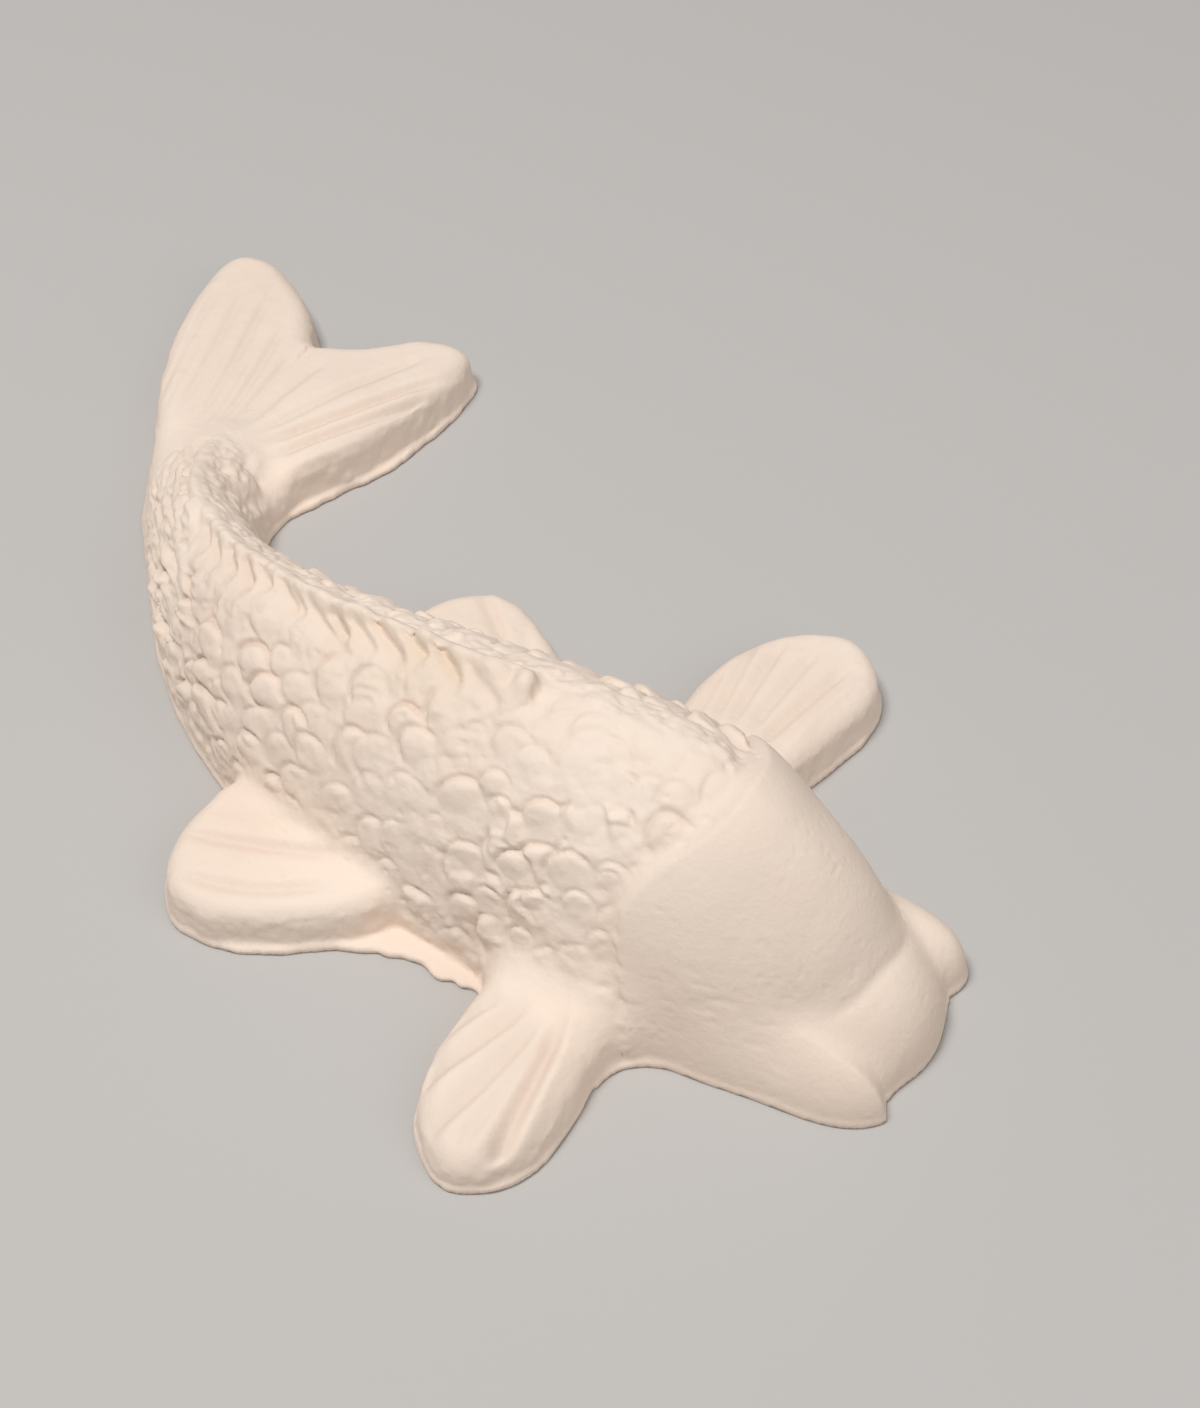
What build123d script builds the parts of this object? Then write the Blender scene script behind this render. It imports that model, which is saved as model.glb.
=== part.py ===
from build123d import *
import os
from math import cos, pi, radians, sin, sqrt

# A koi cast in plaster, lying on a flat underside. Millimetres and degrees. The origin lies on the underside, under the
# spine at the shoulder: +X points ahead along the head, +Y to the fish's left and +Z up.

# Spine seen from above: the lengths of its tangent arcs and how far each turns left on the way ahead
head_length = 23.0
head_bend = -4.0
trunk_front_length = 34.0
trunk_front_bend = 9.2
trunk_rear_length = 27.0
trunk_rear_bend = 30.8
stem_length = 14.0
stem_bend = 28.7

# Body sections: full width and height at each station, and how square the flanks are (2 is an ellipse)
nose_width = 14.6
nose_height = 7.0
cheek_width = 22.0
cheek_height = 14.0
brow_width = 25.6
brow_height = 20.8
nape_width = 27.8
nape_height = 24.0
shoulder_width = 29.2
shoulder_height = 25.0
rib_width = 27.4
rib_height = 22.3
loin_width = 24.2
loin_height = 19.7
vent_width = 17.0
vent_height = 15.7
stem_waist_width = 11.8
stem_waist_height = 12.4
tail_root_width = 13.4
flank_squareness = 1.52

# Where the sections stand, as shares of the spine arc that carries them
nape_station_share = 0.30
brow_station_share = 0.54
cheek_station_share = 0.78
rib_station_share = 0.50
vent_station_share = 0.67
stem_waist_station_share = 0.35

# Gill edge seen from the side: how far it stands ahead of the origin at foot, cheek and nape
gill_foot_reach = 6.5
gill_cheek_reach = 3.1
gill_nape_reach = 7.4
gill_cheek_height_share = 0.54

# Snout: a rounded lip below the mouth crease, centred behind the nose
snout_setback = 2.6
snout_radius = 7.8
snout_width = 19.0

# Barbels: pointed lobes at the corners of the mouth, from their hind end beside the cheek
barbel_setback = 8.0
barbel_spread = 7.7
barbel_toe = 6.0
barbel_length = 11.6
barbel_radius = 4.2

# Dorsal fin: a low crest along the back, with a blunt front end behind the shoulder
dorsal_setback = 14.0
dorsal_width = 6.0
dorsal_rise = 1.1
dorsal_foot_depth = 1.0

# Paired fins: sizes from the fin's inner end, which lies inside the body, to its tip
fin_root_depth = 7.5
fin_edge_radius = 2.0
pectoral_station = -2.6
pectoral_thickness = 5.0
right_pectoral_length = 26.7
right_pectoral_width = 13.6
right_pectoral_sweep = -4.0
left_pectoral_length = 30.0
left_pectoral_width = 15.0
left_pectoral_sweep = -6.5
pelvic_station = -27.5
pelvic_width = 20.0
pelvic_thickness = 5.0
right_pelvic_length = 18.8
right_pelvic_sweep = 25.0
left_pelvic_length = 17.2
left_pelvic_sweep = 32.0

# Tail: two lobes that part at a notch behind the tail root
tail_thickness = 6.0
tail_root_step = 1.8
tail_root_overlap = 5.0
tail_turn = 13.5
tail_notch_length = 25.1
tail_edge_radius = 2.4
right_lobe_length = 37.5
right_lobe_spread = 17.1
left_lobe_length = 30.8
left_lobe_spread = 17.5

# Overrun of every cut past the solid that it cuts
cut_overrun = 2.0

# Steps of the spline over a body section, from one foot to the other
arch_steps = 12

# Turns, in degrees, at which the rounded upper edge of a fin has an outline
edge_turns = (0, 45, 90)

# Fin outlines as shares of length and width, from the inner end round the leading edge and the tip
pectoral_outline_shares = [
    (0.00, 0.42), (0.30, 0.46), (0.60, 0.49), (0.80, 0.44), (0.93, 0.29), (1.00, 0.02),
    (0.95, -0.22), (0.82, -0.42), (0.62, -0.52), (0.42, -0.50), (0.20, -0.45), (0.00, -0.40),
]
pelvic_outline_shares = [
    (-0.05, 0.42), (0.18, 0.50), (0.51, 0.41), (0.83, 0.25), (0.95, 0.14), (1.00, 0.02),
    (0.95, -0.16), (0.81, -0.32), (0.65, -0.41), (0.45, -0.47), (0.00, -0.40), (-0.20, 0.00),
]

# Barbel profile from hind end to tip, as shares of its length and radius
barbel_profile_shares = [(0.00, 0.00), (0.18, 0.66), (0.44, 1.00), (0.70, 0.86), (0.89, 0.50), (1.00, 0.00)]

# Tail lobe edge: outer part as shares of length and spread, inner part as shares of the way from notch to tip
lobe_root_spread_share = 0.25
lobe_outer_shares = [
    (0.05, 0.42), (0.16, 0.54), (0.28, 0.68), (0.44, 0.81), (0.60, 0.91), (0.74, 0.97),
    (0.87, 1.00), (0.95, 0.97), (0.99, 0.88), (1.00, 0.74),
]
right_lobe_inner_shares = [(0.95, 0.60), (0.77, 0.43), (0.55, 0.26), (0.31, 0.12)]
left_lobe_inner_shares = [(0.87, 0.54), (0.56, 0.42), (0.22, 0.26), (0.06, 0.12)]

# Shoulders of a dorsal fin section, as shares of the fin's width and of the way down from its crest to its foot
dorsal_shoulder_width_share = 0.24
dorsal_shoulder_height_share = 0.35

# How much of its rise the dorsal fin has at shoulder, ribs, loin, vent, stem waist and tail root, sunk where negative
dorsal_rise_shares = [0.60, 1.00, 1.00, 0.80, -1.00, -1.00]

trunk_length = trunk_front_length + trunk_rear_length
body_length = trunk_length + stem_length
tail_root_height = tail_thickness + tail_root_step
rib_station = -rib_station_share * trunk_front_length
vent_station = -trunk_front_length - vent_station_share * trunk_rear_length
head_arcs = [(head_length, head_bend)]
rear_arcs = [
    (trunk_front_length, trunk_front_bend),
    (trunk_rear_length, trunk_rear_bend),
    (stem_length, stem_bend),
]

# Body sections from nose to nape and from shoulder to tail root: station along the spine, width and height
head_sections = [
    (head_length, nose_width, nose_height),
    (cheek_station_share * head_length, cheek_width, cheek_height),
    (brow_station_share * head_length, brow_width, brow_height),
    (nape_station_share * head_length, nape_width, nape_height),
]
back_sections = [
    (0, shoulder_width, shoulder_height),
    (rib_station, rib_width, rib_height),
    (-trunk_front_length, loin_width, loin_height),
    (vent_station, vent_width, vent_height),
    (-trunk_length - stem_waist_station_share * stem_length, stem_waist_width, stem_waist_height),
    (-body_length, tail_root_width, tail_root_height),
]
body_sections = head_sections + back_sections
body_top = max(height for station, width, height in body_sections)


def spine_plane(station):
    """Plane square to the spine, that far ahead of the origin: x to the fish's left, y up, z ahead."""
    arcs = head_arcs if station > 0 else rear_arcs
    way = 1 if station > 0 else -1
    remaining = abs(station)
    place = Vector(0, 0, 0)
    heading = 0.0
    for length, bend in arcs:
        step = min(remaining, length)
        half_turn = radians(way * bend * step / length) / 2
        chord = step * sin(half_turn) / half_turn if half_turn else step
        course = heading + half_turn
        place += Vector(cos(course), sin(course), 0) * way * chord
        heading += 2 * half_turn
        remaining -= step
    left = Vector(-sin(heading), cos(heading), 0)
    ahead = Vector(cos(heading), sin(heading), 0)
    return Plane(origin=place, x_dir=left, z_dir=ahead)


def arch_points(width, height):
    """Points over a body section, from its left foot to its right foot."""
    points = []
    for step in range(arch_steps + 1):
        angle = pi * step / arch_steps
        lean = cos(angle)
        side = 1 if lean > 0 else -1
        across = side * abs(lean) ** (2 / flank_squareness) * width / 2
        points.append((across, height * sin(angle)))
    return points


def dorsal_points(width, height, rise):
    """Points over a section of the dorsal fin on a body section, from its left foot to its right foot."""
    foot = dorsal_width / 2
    flank_height = height * sqrt(1 - (dorsal_width / width) ** flank_squareness)
    foot_height = flank_height - dorsal_foot_depth
    crest = height + rise
    shoulder = dorsal_shoulder_width_share * dorsal_width
    shoulder_level = crest - dorsal_shoulder_height_share * (crest - foot_height)
    return [
        (foot, foot_height),
        (shoulder, shoulder_level),
        (0, crest),
        (-shoulder, shoulder_level),
        (-foot, foot_height),
    ]


def fin_plane(station, side, sweep):
    """Level plane at a fin's inner end: x runs out along the fin. Side is 1 for left and -1 for right."""
    spine = spine_plane(station)
    outward = (spine.x_dir * side).rotate(Axis.Z, side * sweep)
    return Plane(origin=spine.origin + spine.x_dir * side * fin_root_depth, x_dir=outward, z_dir=(0, 0, 1))


def barbel_plane(side):
    """Level plane at a barbel's hind end: x runs ahead and out beside the mouth."""
    spine = spine_plane(head_length - barbel_setback)
    ahead = spine.z_dir.rotate(Axis.Z, side * barbel_toe)
    return Plane(origin=spine.origin + spine.x_dir * side * barbel_spread, x_dir=ahead, z_dir=(0, 0, 1))


def edge_levels(thickness, radius):
    """Heights and insets of the outlines that stack up to a slab with a rounded upper edge."""
    levels = [(0, 0)]
    for turn in edge_turns:
        rise = radius * sin(radians(turn))
        inset = radius - radius * cos(radians(turn))
        levels.append((thickness - radius + rise, inset))
    return levels


def paddle_points(shares, length, width, flip, inset):
    """Outline of a fin in its own plane, drawn in towards its middle by the inset."""
    middle = length / 2
    shorten = 1 - inset / middle
    narrow = 1 - 2 * inset / width
    return [
        (middle + (along * length - middle) * shorten, flip * across * width * narrow)
        for along, across in shares
    ]


def lobe_points(inner_shares, length, spread, flip, inset):
    """Edge of a tail lobe in the tail's plane, from the tail root round the tip to the notch."""
    edge = [(0, lobe_root_spread_share * spread)]
    edge += [(tail_root_overlap + along * length, out * spread) for along, out in lobe_outer_shares]
    for way, out in inner_shares:
        edge.append((tail_root_overlap + tail_notch_length + way * (length - tail_notch_length), out * spread))
    edge.append((tail_root_overlap + tail_notch_length, 0))
    shorten = 1 - inset / (tail_root_overlap + length)
    narrow = 1 - inset / spread
    return [(along * shorten - tail_root_overlap, flip * out * narrow) for along, out in edge]


def write_piece(part, name):
    """Label a finished piece and write it to its own file."""
    part.label = name
    export_step(part, f"parts/{name}.step")


os.makedirs("parts", exist_ok=True)

# Body form, from nose to tail root: lofted through the sections, then cut flat underneath
with BuildPart() as body_form:
    for station, width, height in body_sections:
        with BuildSketch(spine_plane(station)):
            with BuildLine():
                Spline(*arch_points(width, height), tangents=[(0, 1), (0, -1)])
                Polyline(
                    (-width / 2, 0),
                    (-width / 2, -cut_overrun),
                    (width / 2, -cut_overrun),
                    (width / 2, 0),
                )
            make_face()
    loft()
    split(bisect_by=Plane.XY, keep=Keep.TOP)

# Head form: the body form ahead of the gill edge, which is an arc seen from the side
with BuildPart() as head_form:
    add(body_form.part)
    with BuildSketch(Plane.XZ):
        with BuildLine():
            ThreePointArc(
                (gill_foot_reach, 0),
                (gill_cheek_reach, gill_cheek_height_share * nape_height),
                (gill_nape_reach, nape_height),
            )
            Polyline(
                (gill_nape_reach, nape_height),
                (gill_nape_reach, body_top + cut_overrun),
                (head_length + cut_overrun, body_top + cut_overrun),
                (head_length + cut_overrun, 0),
                (gill_foot_reach, 0),
            )
        make_face()
    extrude(amount=shoulder_width, both=True, mode=Mode.INTERSECT)

# Barbels: half spindles beside the mouth, let into the head
barbels = []
for name, side in [("left_barbel", 1), ("right_barbel", -1)]:
    root = barbel_plane(side)
    with BuildPart() as barbel:
        with BuildSketch(root):
            with BuildLine():
                profile = Spline(
                    *[(along * barbel_length, side * out * barbel_radius) for along, out in barbel_profile_shares]
                )
                Line(profile @ 1, profile @ 0)
            make_face()
        revolve(axis=Axis(root.origin, root.x_dir))
        split(bisect_by=Plane.XY, keep=Keep.TOP)
    write_piece(barbel.part, name)
    barbels.append(barbel.part)

# Head: its form with a seat for each barbel
with BuildPart() as head:
    add(head_form.part)
    add(barbels, mode=Mode.SUBTRACT)
write_piece(head.part, "head")

# Tail stem: the body form behind the trunk's last arc
trunk_end = spine_plane(-trunk_length)
with BuildPart() as tail_stem:
    add(body_form.part)
    split(bisect_by=trunk_end, keep=Keep.BOTTOM)
write_piece(tail_stem.part, "tail_stem")

# Trunk: what the head and the tail stem leave of the body form
with BuildPart() as trunk:
    add(body_form.part)
    split(bisect_by=trunk_end, keep=Keep.TOP)
    add(head_form.part, mode=Mode.SUBTRACT)
write_piece(trunk.part, "trunk")

# Snout: half an ellipsoid, turned about the line across the mouth and seated on head and barbels
mouth = spine_plane(head_length - snout_setback)
with BuildPart() as snout:
    with BuildSketch(Plane(origin=mouth.origin, x_dir=mouth.z_dir, z_dir=(0, 0, 1))):
        with BuildLine():
            EllipticalCenterArc((0, 0), snout_radius, snout_width / 2, start_angle=-90, arc_size=180)
            Line((0, snout_width / 2), (0, -snout_width / 2))
        make_face()
    revolve(axis=Axis(mouth.origin, mouth.x_dir))
    split(bisect_by=Plane.XY, keep=Keep.TOP)
    add(head.part, mode=Mode.SUBTRACT)
    add(barbels, mode=Mode.SUBTRACT)
write_piece(snout.part, "snout")

# Dorsal fin: a ridge that starts bluntly behind the shoulder and sinks into the back before the end of the trunk
with BuildPart() as dorsal_fin:
    for (station, width, height), share in zip(back_sections, dorsal_rise_shares):
        with BuildSketch(spine_plane(station)):
            with BuildLine():
                arch = Spline(*dorsal_points(width, height, share * dorsal_rise))
                Line(arch @ 1, arch @ 0)
            make_face()
    loft()
    split(bisect_by=spine_plane(-dorsal_setback), keep=Keep.BOTTOM)
    split(bisect_by=trunk_end, keep=Keep.TOP)
    add(trunk.part, mode=Mode.SUBTRACT)
write_piece(dorsal_fin.part, "dorsal_fin")

# Paired fins: slabs with a rounded upper edge, lying on the ground and seated on the flanks
pectoral_kind = (pectoral_station, pectoral_thickness, pectoral_outline_shares)
pelvic_kind = (pelvic_station, pelvic_thickness, pelvic_outline_shares)
paired_fins = [
    ("left_pectoral_fin", pectoral_kind, 1, left_pectoral_sweep, left_pectoral_length, left_pectoral_width),
    ("right_pectoral_fin", pectoral_kind, -1, right_pectoral_sweep, right_pectoral_length, right_pectoral_width),
    ("left_pelvic_fin", pelvic_kind, 1, left_pelvic_sweep, left_pelvic_length, pelvic_width),
    ("right_pelvic_fin", pelvic_kind, -1, right_pelvic_sweep, right_pelvic_length, pelvic_width),
]
for name, kind, side, sweep, length, width in paired_fins:
    station, thickness, shares = kind
    root = fin_plane(station, side, sweep)
    with BuildPart() as fin:
        for height, inset in edge_levels(thickness, fin_edge_radius):
            with BuildSketch(root.offset(height)):
                with BuildLine():
                    Spline(*paddle_points(shares, length, width, -side, inset), periodic=True)
                make_face()
        loft(ruled=True)
        add(trunk.part, mode=Mode.SUBTRACT)
        add(head.part, mode=Mode.SUBTRACT)
    write_piece(fin.part, name)

# Tail lobes: slabs that meet on the line from tail root to notch, and wrap the end of the tail stem
tail_root = spine_plane(-body_length)
tail_plane = Plane(
    origin=tail_root.origin,
    x_dir=(-tail_root.z_dir).rotate(Axis.Z, -tail_turn),
    z_dir=(0, 0, 1),
)
tail_lobes = [
    ("left_tail_lobe", -1, left_lobe_inner_shares, left_lobe_length, left_lobe_spread),
    ("right_tail_lobe", 1, right_lobe_inner_shares, right_lobe_length, right_lobe_spread),
]
for name, flip, inner_shares, length, spread in tail_lobes:
    with BuildPart() as lobe:
        for height, inset in edge_levels(tail_thickness, tail_edge_radius):
            with BuildSketch(tail_plane.offset(height)):
                with BuildLine():
                    edge = Spline(*lobe_points(inner_shares, length, spread, flip, inset))
                    Polyline(edge @ 1, (-tail_root_overlap, 0), edge @ 0)
                make_face()
        loft(ruled=True)
        add(tail_stem.part, mode=Mode.SUBTRACT)
    write_piece(lobe.part, name)
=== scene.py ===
from collections import namedtuple
from math import cos, radians, sin

import bpy
import numpy as np
import openvdb
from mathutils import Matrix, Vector
from mathutils.geometry import tessellate_polygon


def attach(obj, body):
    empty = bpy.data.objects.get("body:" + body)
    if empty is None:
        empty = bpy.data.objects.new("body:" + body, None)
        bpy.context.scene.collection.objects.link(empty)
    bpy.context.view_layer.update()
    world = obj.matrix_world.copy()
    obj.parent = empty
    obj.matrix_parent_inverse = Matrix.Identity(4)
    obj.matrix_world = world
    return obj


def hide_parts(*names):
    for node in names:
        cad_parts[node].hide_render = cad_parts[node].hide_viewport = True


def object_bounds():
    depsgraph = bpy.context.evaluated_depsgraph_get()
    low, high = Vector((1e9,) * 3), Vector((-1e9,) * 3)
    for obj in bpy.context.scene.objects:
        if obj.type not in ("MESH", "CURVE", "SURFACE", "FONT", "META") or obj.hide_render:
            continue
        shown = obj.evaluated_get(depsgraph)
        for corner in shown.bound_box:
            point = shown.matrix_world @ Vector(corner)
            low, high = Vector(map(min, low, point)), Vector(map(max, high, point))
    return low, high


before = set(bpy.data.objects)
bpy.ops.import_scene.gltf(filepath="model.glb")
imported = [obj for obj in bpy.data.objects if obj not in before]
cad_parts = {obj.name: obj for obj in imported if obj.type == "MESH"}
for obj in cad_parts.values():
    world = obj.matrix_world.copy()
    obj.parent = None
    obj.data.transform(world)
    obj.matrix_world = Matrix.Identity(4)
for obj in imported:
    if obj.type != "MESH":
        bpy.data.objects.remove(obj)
cad_low, cad_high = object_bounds()

# A koi cast in plaster. Lengths in this script are millimetres in the part's own frame, and turn into metres when the
# meshes are made: +X ahead, +Y to the fish's left, +Z up from the table. On the fish, s is the station along its spine,
# l the offset to its left and z the height. A zone is a pair: where something starts, and where it is full.
METRE = 0.001
VOXEL = 0.25
TINY, TINY_AREA, HUGE = 1e-9, 1e-12, 1e9
ON_TABLE = 1e-6

# Spine seen from above: arc lengths and how far each turns left on the way ahead, in degrees
HEAD_LENGTH, HEAD_BEND = 23.0, -4.0
REAR_ARCS = [(34.0, 9.2), (27.0, 30.8), (14.0, 28.7)]
TAIL_RUN = (40.0, 0.0)
TRUNK_LENGTH = REAR_ARCS[0][0] + REAR_ARCS[1][0]
BODY_LENGTH = TRUNK_LENGTH + REAR_ARCS[2][0]

# Body sections: station along the spine, half width, height and fullness of the flank
BODY_SECTIONS = np.array([
    (-92, 1.5, 0.5, 1.4), (-88, 3.9, 2.2, 1.34), (-84, 6, 4.8, 1.28), (-79.5, 7, 6.9, 1.26),
    (-75, 7, 8.8, 1.28), (-70, 6.2, 10.8, 1.32), (-65, 5.8, 12.6, 1.42), (-58.5, 6.9, 14.2, 1.5),
    (-52, 8.3, 15.8, 1.58), (-43, 10.3, 18, 1.65), (-34, 12, 19.8, 1.7), (-17, 13.6, 22.4, 1.8),
    (-6, 14.4, 23.8, 1.76), (0, 14.5, 23.7, 1.66), (6.9, 13.6, 22.5, 1.64), (12.4, 11.9, 20, 1.72),
    (17, 9.9, 16.7, 1.88), (20, 8.1, 13, 1.98), (22, 6.2, 9.4, 2), (23.4, 4.3, 5.8, 2),
    (24.6, 2.6, 2.6, 2), (25.6, 1, 0.7, 2),
])
LEAST_HALF_WIDTH, LEAST_HEIGHT = 0.6, 0.3
BODY_BACK, BODY_FRONT = -88.5, 25.2
LEAST_REACH, LEAST_SLOPE = 0.02, 0.03
FINE_STEP = 0.1

# The head lies a little to the fish's right of its arc
HEAD_ASIDE, HEAD_ASIDE_ZONE = 0.9, (3.0, 14.0)

# Gill edge: height above the table and how far ahead of the origin the edge stands there
GILL_EDGE = np.array([
    (-1, 6.6), (2, 6), (5.6, 5.1), (8, 4.2), (10.7, 3.2), (13.5, 2.8), (16, 3.4), (17.9, 4.6),
    (19.9, 6.6), (21.9, 8.4), (22.8, 8.9), (23.8, 8.9), (27, 9),
])

# Its waver as depth, frequency and phase, and by height the width of its bevel and how far it stands over the trunk
GILL_WAVES, GILL_WAVE_ZONE = [(0.14, 2.1, 0), (0.09, 4.7, 1)], (16.0, 12.0)
GILL_BEVELS = [0, 8, 15, 18.5, 21, 23.5], [0.9, 0.85, 0.75, 0.8, 1.15, 1.6]
GILL_HEIGHTS = [0, 6, 13, 19, 24], [0.25, 0.38, 0.56, 0.80, 0.98]
GILL_FADE_ZONE = (15.0, 1.0)
GILL_DIP_SHARE, GILL_DIP_BEHIND, GILL_DIP_WIDTH = 0.3, 1.0, 1.3


def smooth_table(knots, values, at):
    """Smooth curve through a table of values."""
    knots = np.asarray(knots, float)
    values = np.asarray(values, float)
    slopes = np.gradient(values, knots)
    cell = np.clip(np.searchsorted(knots, at) - 1, 0, len(knots) - 2)
    step = knots[cell + 1] - knots[cell]
    t = np.clip((at - knots[cell]) / step, 0, 1)
    rise = t * t * (3 - 2 * t)
    lead = t * (1 - t) ** 2
    trail = t * t * (t - 1)
    return values[cell] * (1 - rise) + values[cell + 1] * rise + step * (slopes[cell] * lead + slopes[cell + 1] * trail)


def ramp(low, high, value):
    """Smooth step from 0 at low to 1 at high."""
    t = np.clip((value - low) / (high - low), 0, 1)
    return t * t * (3 - 2 * t)


def between(value, low, high):
    """Whether values lie between two limits."""
    return (value > low) & (value < high)


def within(share, *zones):
    """A share that falls to 0 outside zones, each given as a measure, where the zone starts and where it is full."""
    for measure, low, high in zones:
        share = share * ramp(low, high, measure)
    return share


def hump(a, middle_a, reach_a, b, middle_b, reach_b):
    """Smooth hump of height 1 over two measures."""
    return np.exp(-((a - middle_a) / reach_a) ** 2 - ((b - middle_b) / reach_b) ** 2)


def join(a, b, reach):
    """Union of two distance fields with a fillet of that reach."""
    h = np.maximum(reach - np.abs(a - b), 0) / reach
    return np.minimum(a, b) - h * h * reach * 0.25


def lattice_noise(x, y, z, size, seed, lattice=32, start=500.0):
    """Smooth noise from -1 to 1 with cells of that size."""
    table = np.random.RandomState(seed).uniform(-1, 1, (lattice,) * 3).astype(np.float32)
    cells, parts = [], []
    for value in (x, y, z):
        scaled = np.asarray(value) / size + start
        floor = np.floor(scaled)
        part = scaled - floor
        cells.append(floor.astype(int))
        parts.append(part * part * part * (part * (part * 6 - 15) + 10))
    total = 0.0
    for corner in np.ndindex(2, 2, 2):
        x_weight, y_weight, z_weight = (part if end else 1 - part for end, part in zip(corner, parts))
        place = tuple((cell + end) % lattice for end, cell in zip(corner, cells))
        total = total + x_weight * y_weight * z_weight * table[place]
    return total


def spine_point(station):
    """Plan place and heading of the spine at a station."""
    if station > 0:
        arcs, way = [(HEAD_LENGTH, HEAD_BEND)], 1
    else:
        arcs, way = REAR_ARCS, -1
    place, heading, remaining = np.zeros(2), 0.0, abs(station)
    for length, bend in arcs:
        step = min(remaining, length)
        half_turn = radians(way * bend * step / length) / 2
        chord = step * sin(half_turn) / half_turn if half_turn else step
        course = heading + half_turn
        place = place + np.array([cos(course), sin(course)]) * way * chord
        heading += 2 * half_turn
        remaining -= step
    return place + np.array([cos(heading), sin(heading)]) * way * remaining, heading


def spine_coords(x, y):
    """Station along the spine, and offset to the fish's left, of plan points."""
    radius = HEAD_LENGTH / radians(HEAD_BEND)
    side = np.sign(radius)
    station = np.arctan2(x * side, (radius - y) * side) * radius
    offset = radius - side * np.hypot(x, y - radius)
    behind = np.ones(np.shape(x), bool)
    start = 0.0
    for length, bend in REAR_ARCS + [TAIL_RUN]:
        place, heading = spine_point(-start)
        along = (x - place[0]) * cos(heading) + (y - place[1]) * sin(heading)
        left = (y - place[1]) * cos(heading) - (x - place[0]) * sin(heading)
        behind = behind & (along < 0)
        if bend:
            radius = length / radians(bend)
            back = np.arctan2(-along, radius - left) * radius
            aside = radius - np.hypot(along, left - radius)
        else:
            back, aside = -along, left
        station = np.where(behind, -start - back, station)
        offset = np.where(behind, aside, offset)
        start += length
    return station, offset + HEAD_ASIDE * ramp(*HEAD_ASIDE_ZONE, station)


# The tables in fine steps, to be read by station or level
section_stations, section_widths, section_heights, section_powers = BODY_SECTIONS.T
fine_stations = np.arange(section_stations[0], section_stations[-1], FINE_STEP)
fine_widths = np.maximum(smooth_table(section_stations, section_widths, fine_stations), LEAST_HALF_WIDTH)
fine_heights = np.maximum(smooth_table(section_stations, section_heights, fine_stations), LEAST_HEIGHT)
fine_powers = np.interp(fine_stations, section_stations, section_powers)
fine_width_slopes = np.gradient(fine_widths, fine_stations)
fine_height_slopes = np.gradient(fine_heights, fine_stations)
fine_levels = np.arange(GILL_EDGE[0, 0], GILL_EDGE[-1, 0], FINE_STEP)
fine_gill = smooth_table(GILL_EDGE[:, 0], GILL_EDGE[:, 1], fine_levels)


def at_station(s, fine_values):
    """Values of a fine table at stations along the spine."""
    return np.interp(s, fine_stations, fine_values)


# Dorsal fin: rise over the back by station, how far it reaches down either side of the crest and how full it is there,
# the bow of its front end, and a dent in the back ahead of it as depth, station, length, offset and width
DORSAL_FRONT, DORSAL_BACK, DORSAL_BACK_FADE = -12.2, -60.0, 6.0
DORSAL_RISE = np.array([
    (-60, 0.1), (-56, 0.4), (-50, 0.8), (-38, 1.2), (-24, 1.35), (-16, 1.45), (-8, 1.45),
])
DORSAL_RIGHT_REACH, DORSAL_LEFT_REACH = 5.2, 1.5
DORSAL_RIGHT_POWER, DORSAL_LEFT_POWER = 1.1, 0.6
DORSAL_BOW, DORSAL_BOW_OFFSET, DORSAL_FRONT_ZONE = 0.25, -0.9, (0.7, -0.7)
DORSAL_DENT = (0.45, -10.4, 1.6, -0.2, 2.0)


def dorsal_ahead(s, l):
    """How far a point lies ahead of the rounded front of the dorsal fin."""
    return s - DORSAL_FRONT + DORSAL_BOW * (l - DORSAL_BOW_OFFSET) ** 2


def dorsal_lift(s, l):
    """How far the dorsal fin stands over the back."""
    rise = np.interp(s, DORSAL_RISE[:, 0], DORSAL_RISE[:, 1])
    front = ramp(*DORSAL_FRONT_ZONE, dorsal_ahead(s, l))
    back = ramp(DORSAL_BACK, DORSAL_BACK + DORSAL_BACK_FADE, s)
    right = np.clip(1 + l / DORSAL_RIGHT_REACH, 0, 1)
    left = np.clip(1 - l / DORSAL_LEFT_REACH, 0, 1)
    across = np.where(l < 0, right ** DORSAL_RIGHT_POWER, left ** DORSAL_LEFT_POWER)
    depth, station, length, offset, width = DORSAL_DENT
    return rise * front * back * across - depth * hump(s, station, length, l, offset, width)


def gill_place(s, z):
    """How far a point lies ahead of the gill edge, and the width of the bevel behind the edge there."""
    waver = sum(depth * np.sin(frequency * z + phase) for depth, frequency, phase in GILL_WAVES)
    edge = np.interp(z, fine_levels, fine_gill) + waver * ramp(*GILL_WAVE_ZONE, z)
    return s - edge, np.interp(z, *GILL_BEVELS)


def gill_step(s, z):
    """How far the gill plate and head stand over the trunk."""
    ahead, bevel = gill_place(s, z)
    height = np.interp(z, *GILL_HEIGHTS)
    t = np.clip(1 + ahead / bevel, 0, 1)
    dip = GILL_DIP_SHARE * height * np.exp(-((ahead + bevel + GILL_DIP_BEHIND) / GILL_DIP_WIDTH) ** 2)
    return height * t * t * (2 - t) * ramp(*GILL_FADE_ZONE, ahead) - dip


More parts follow.
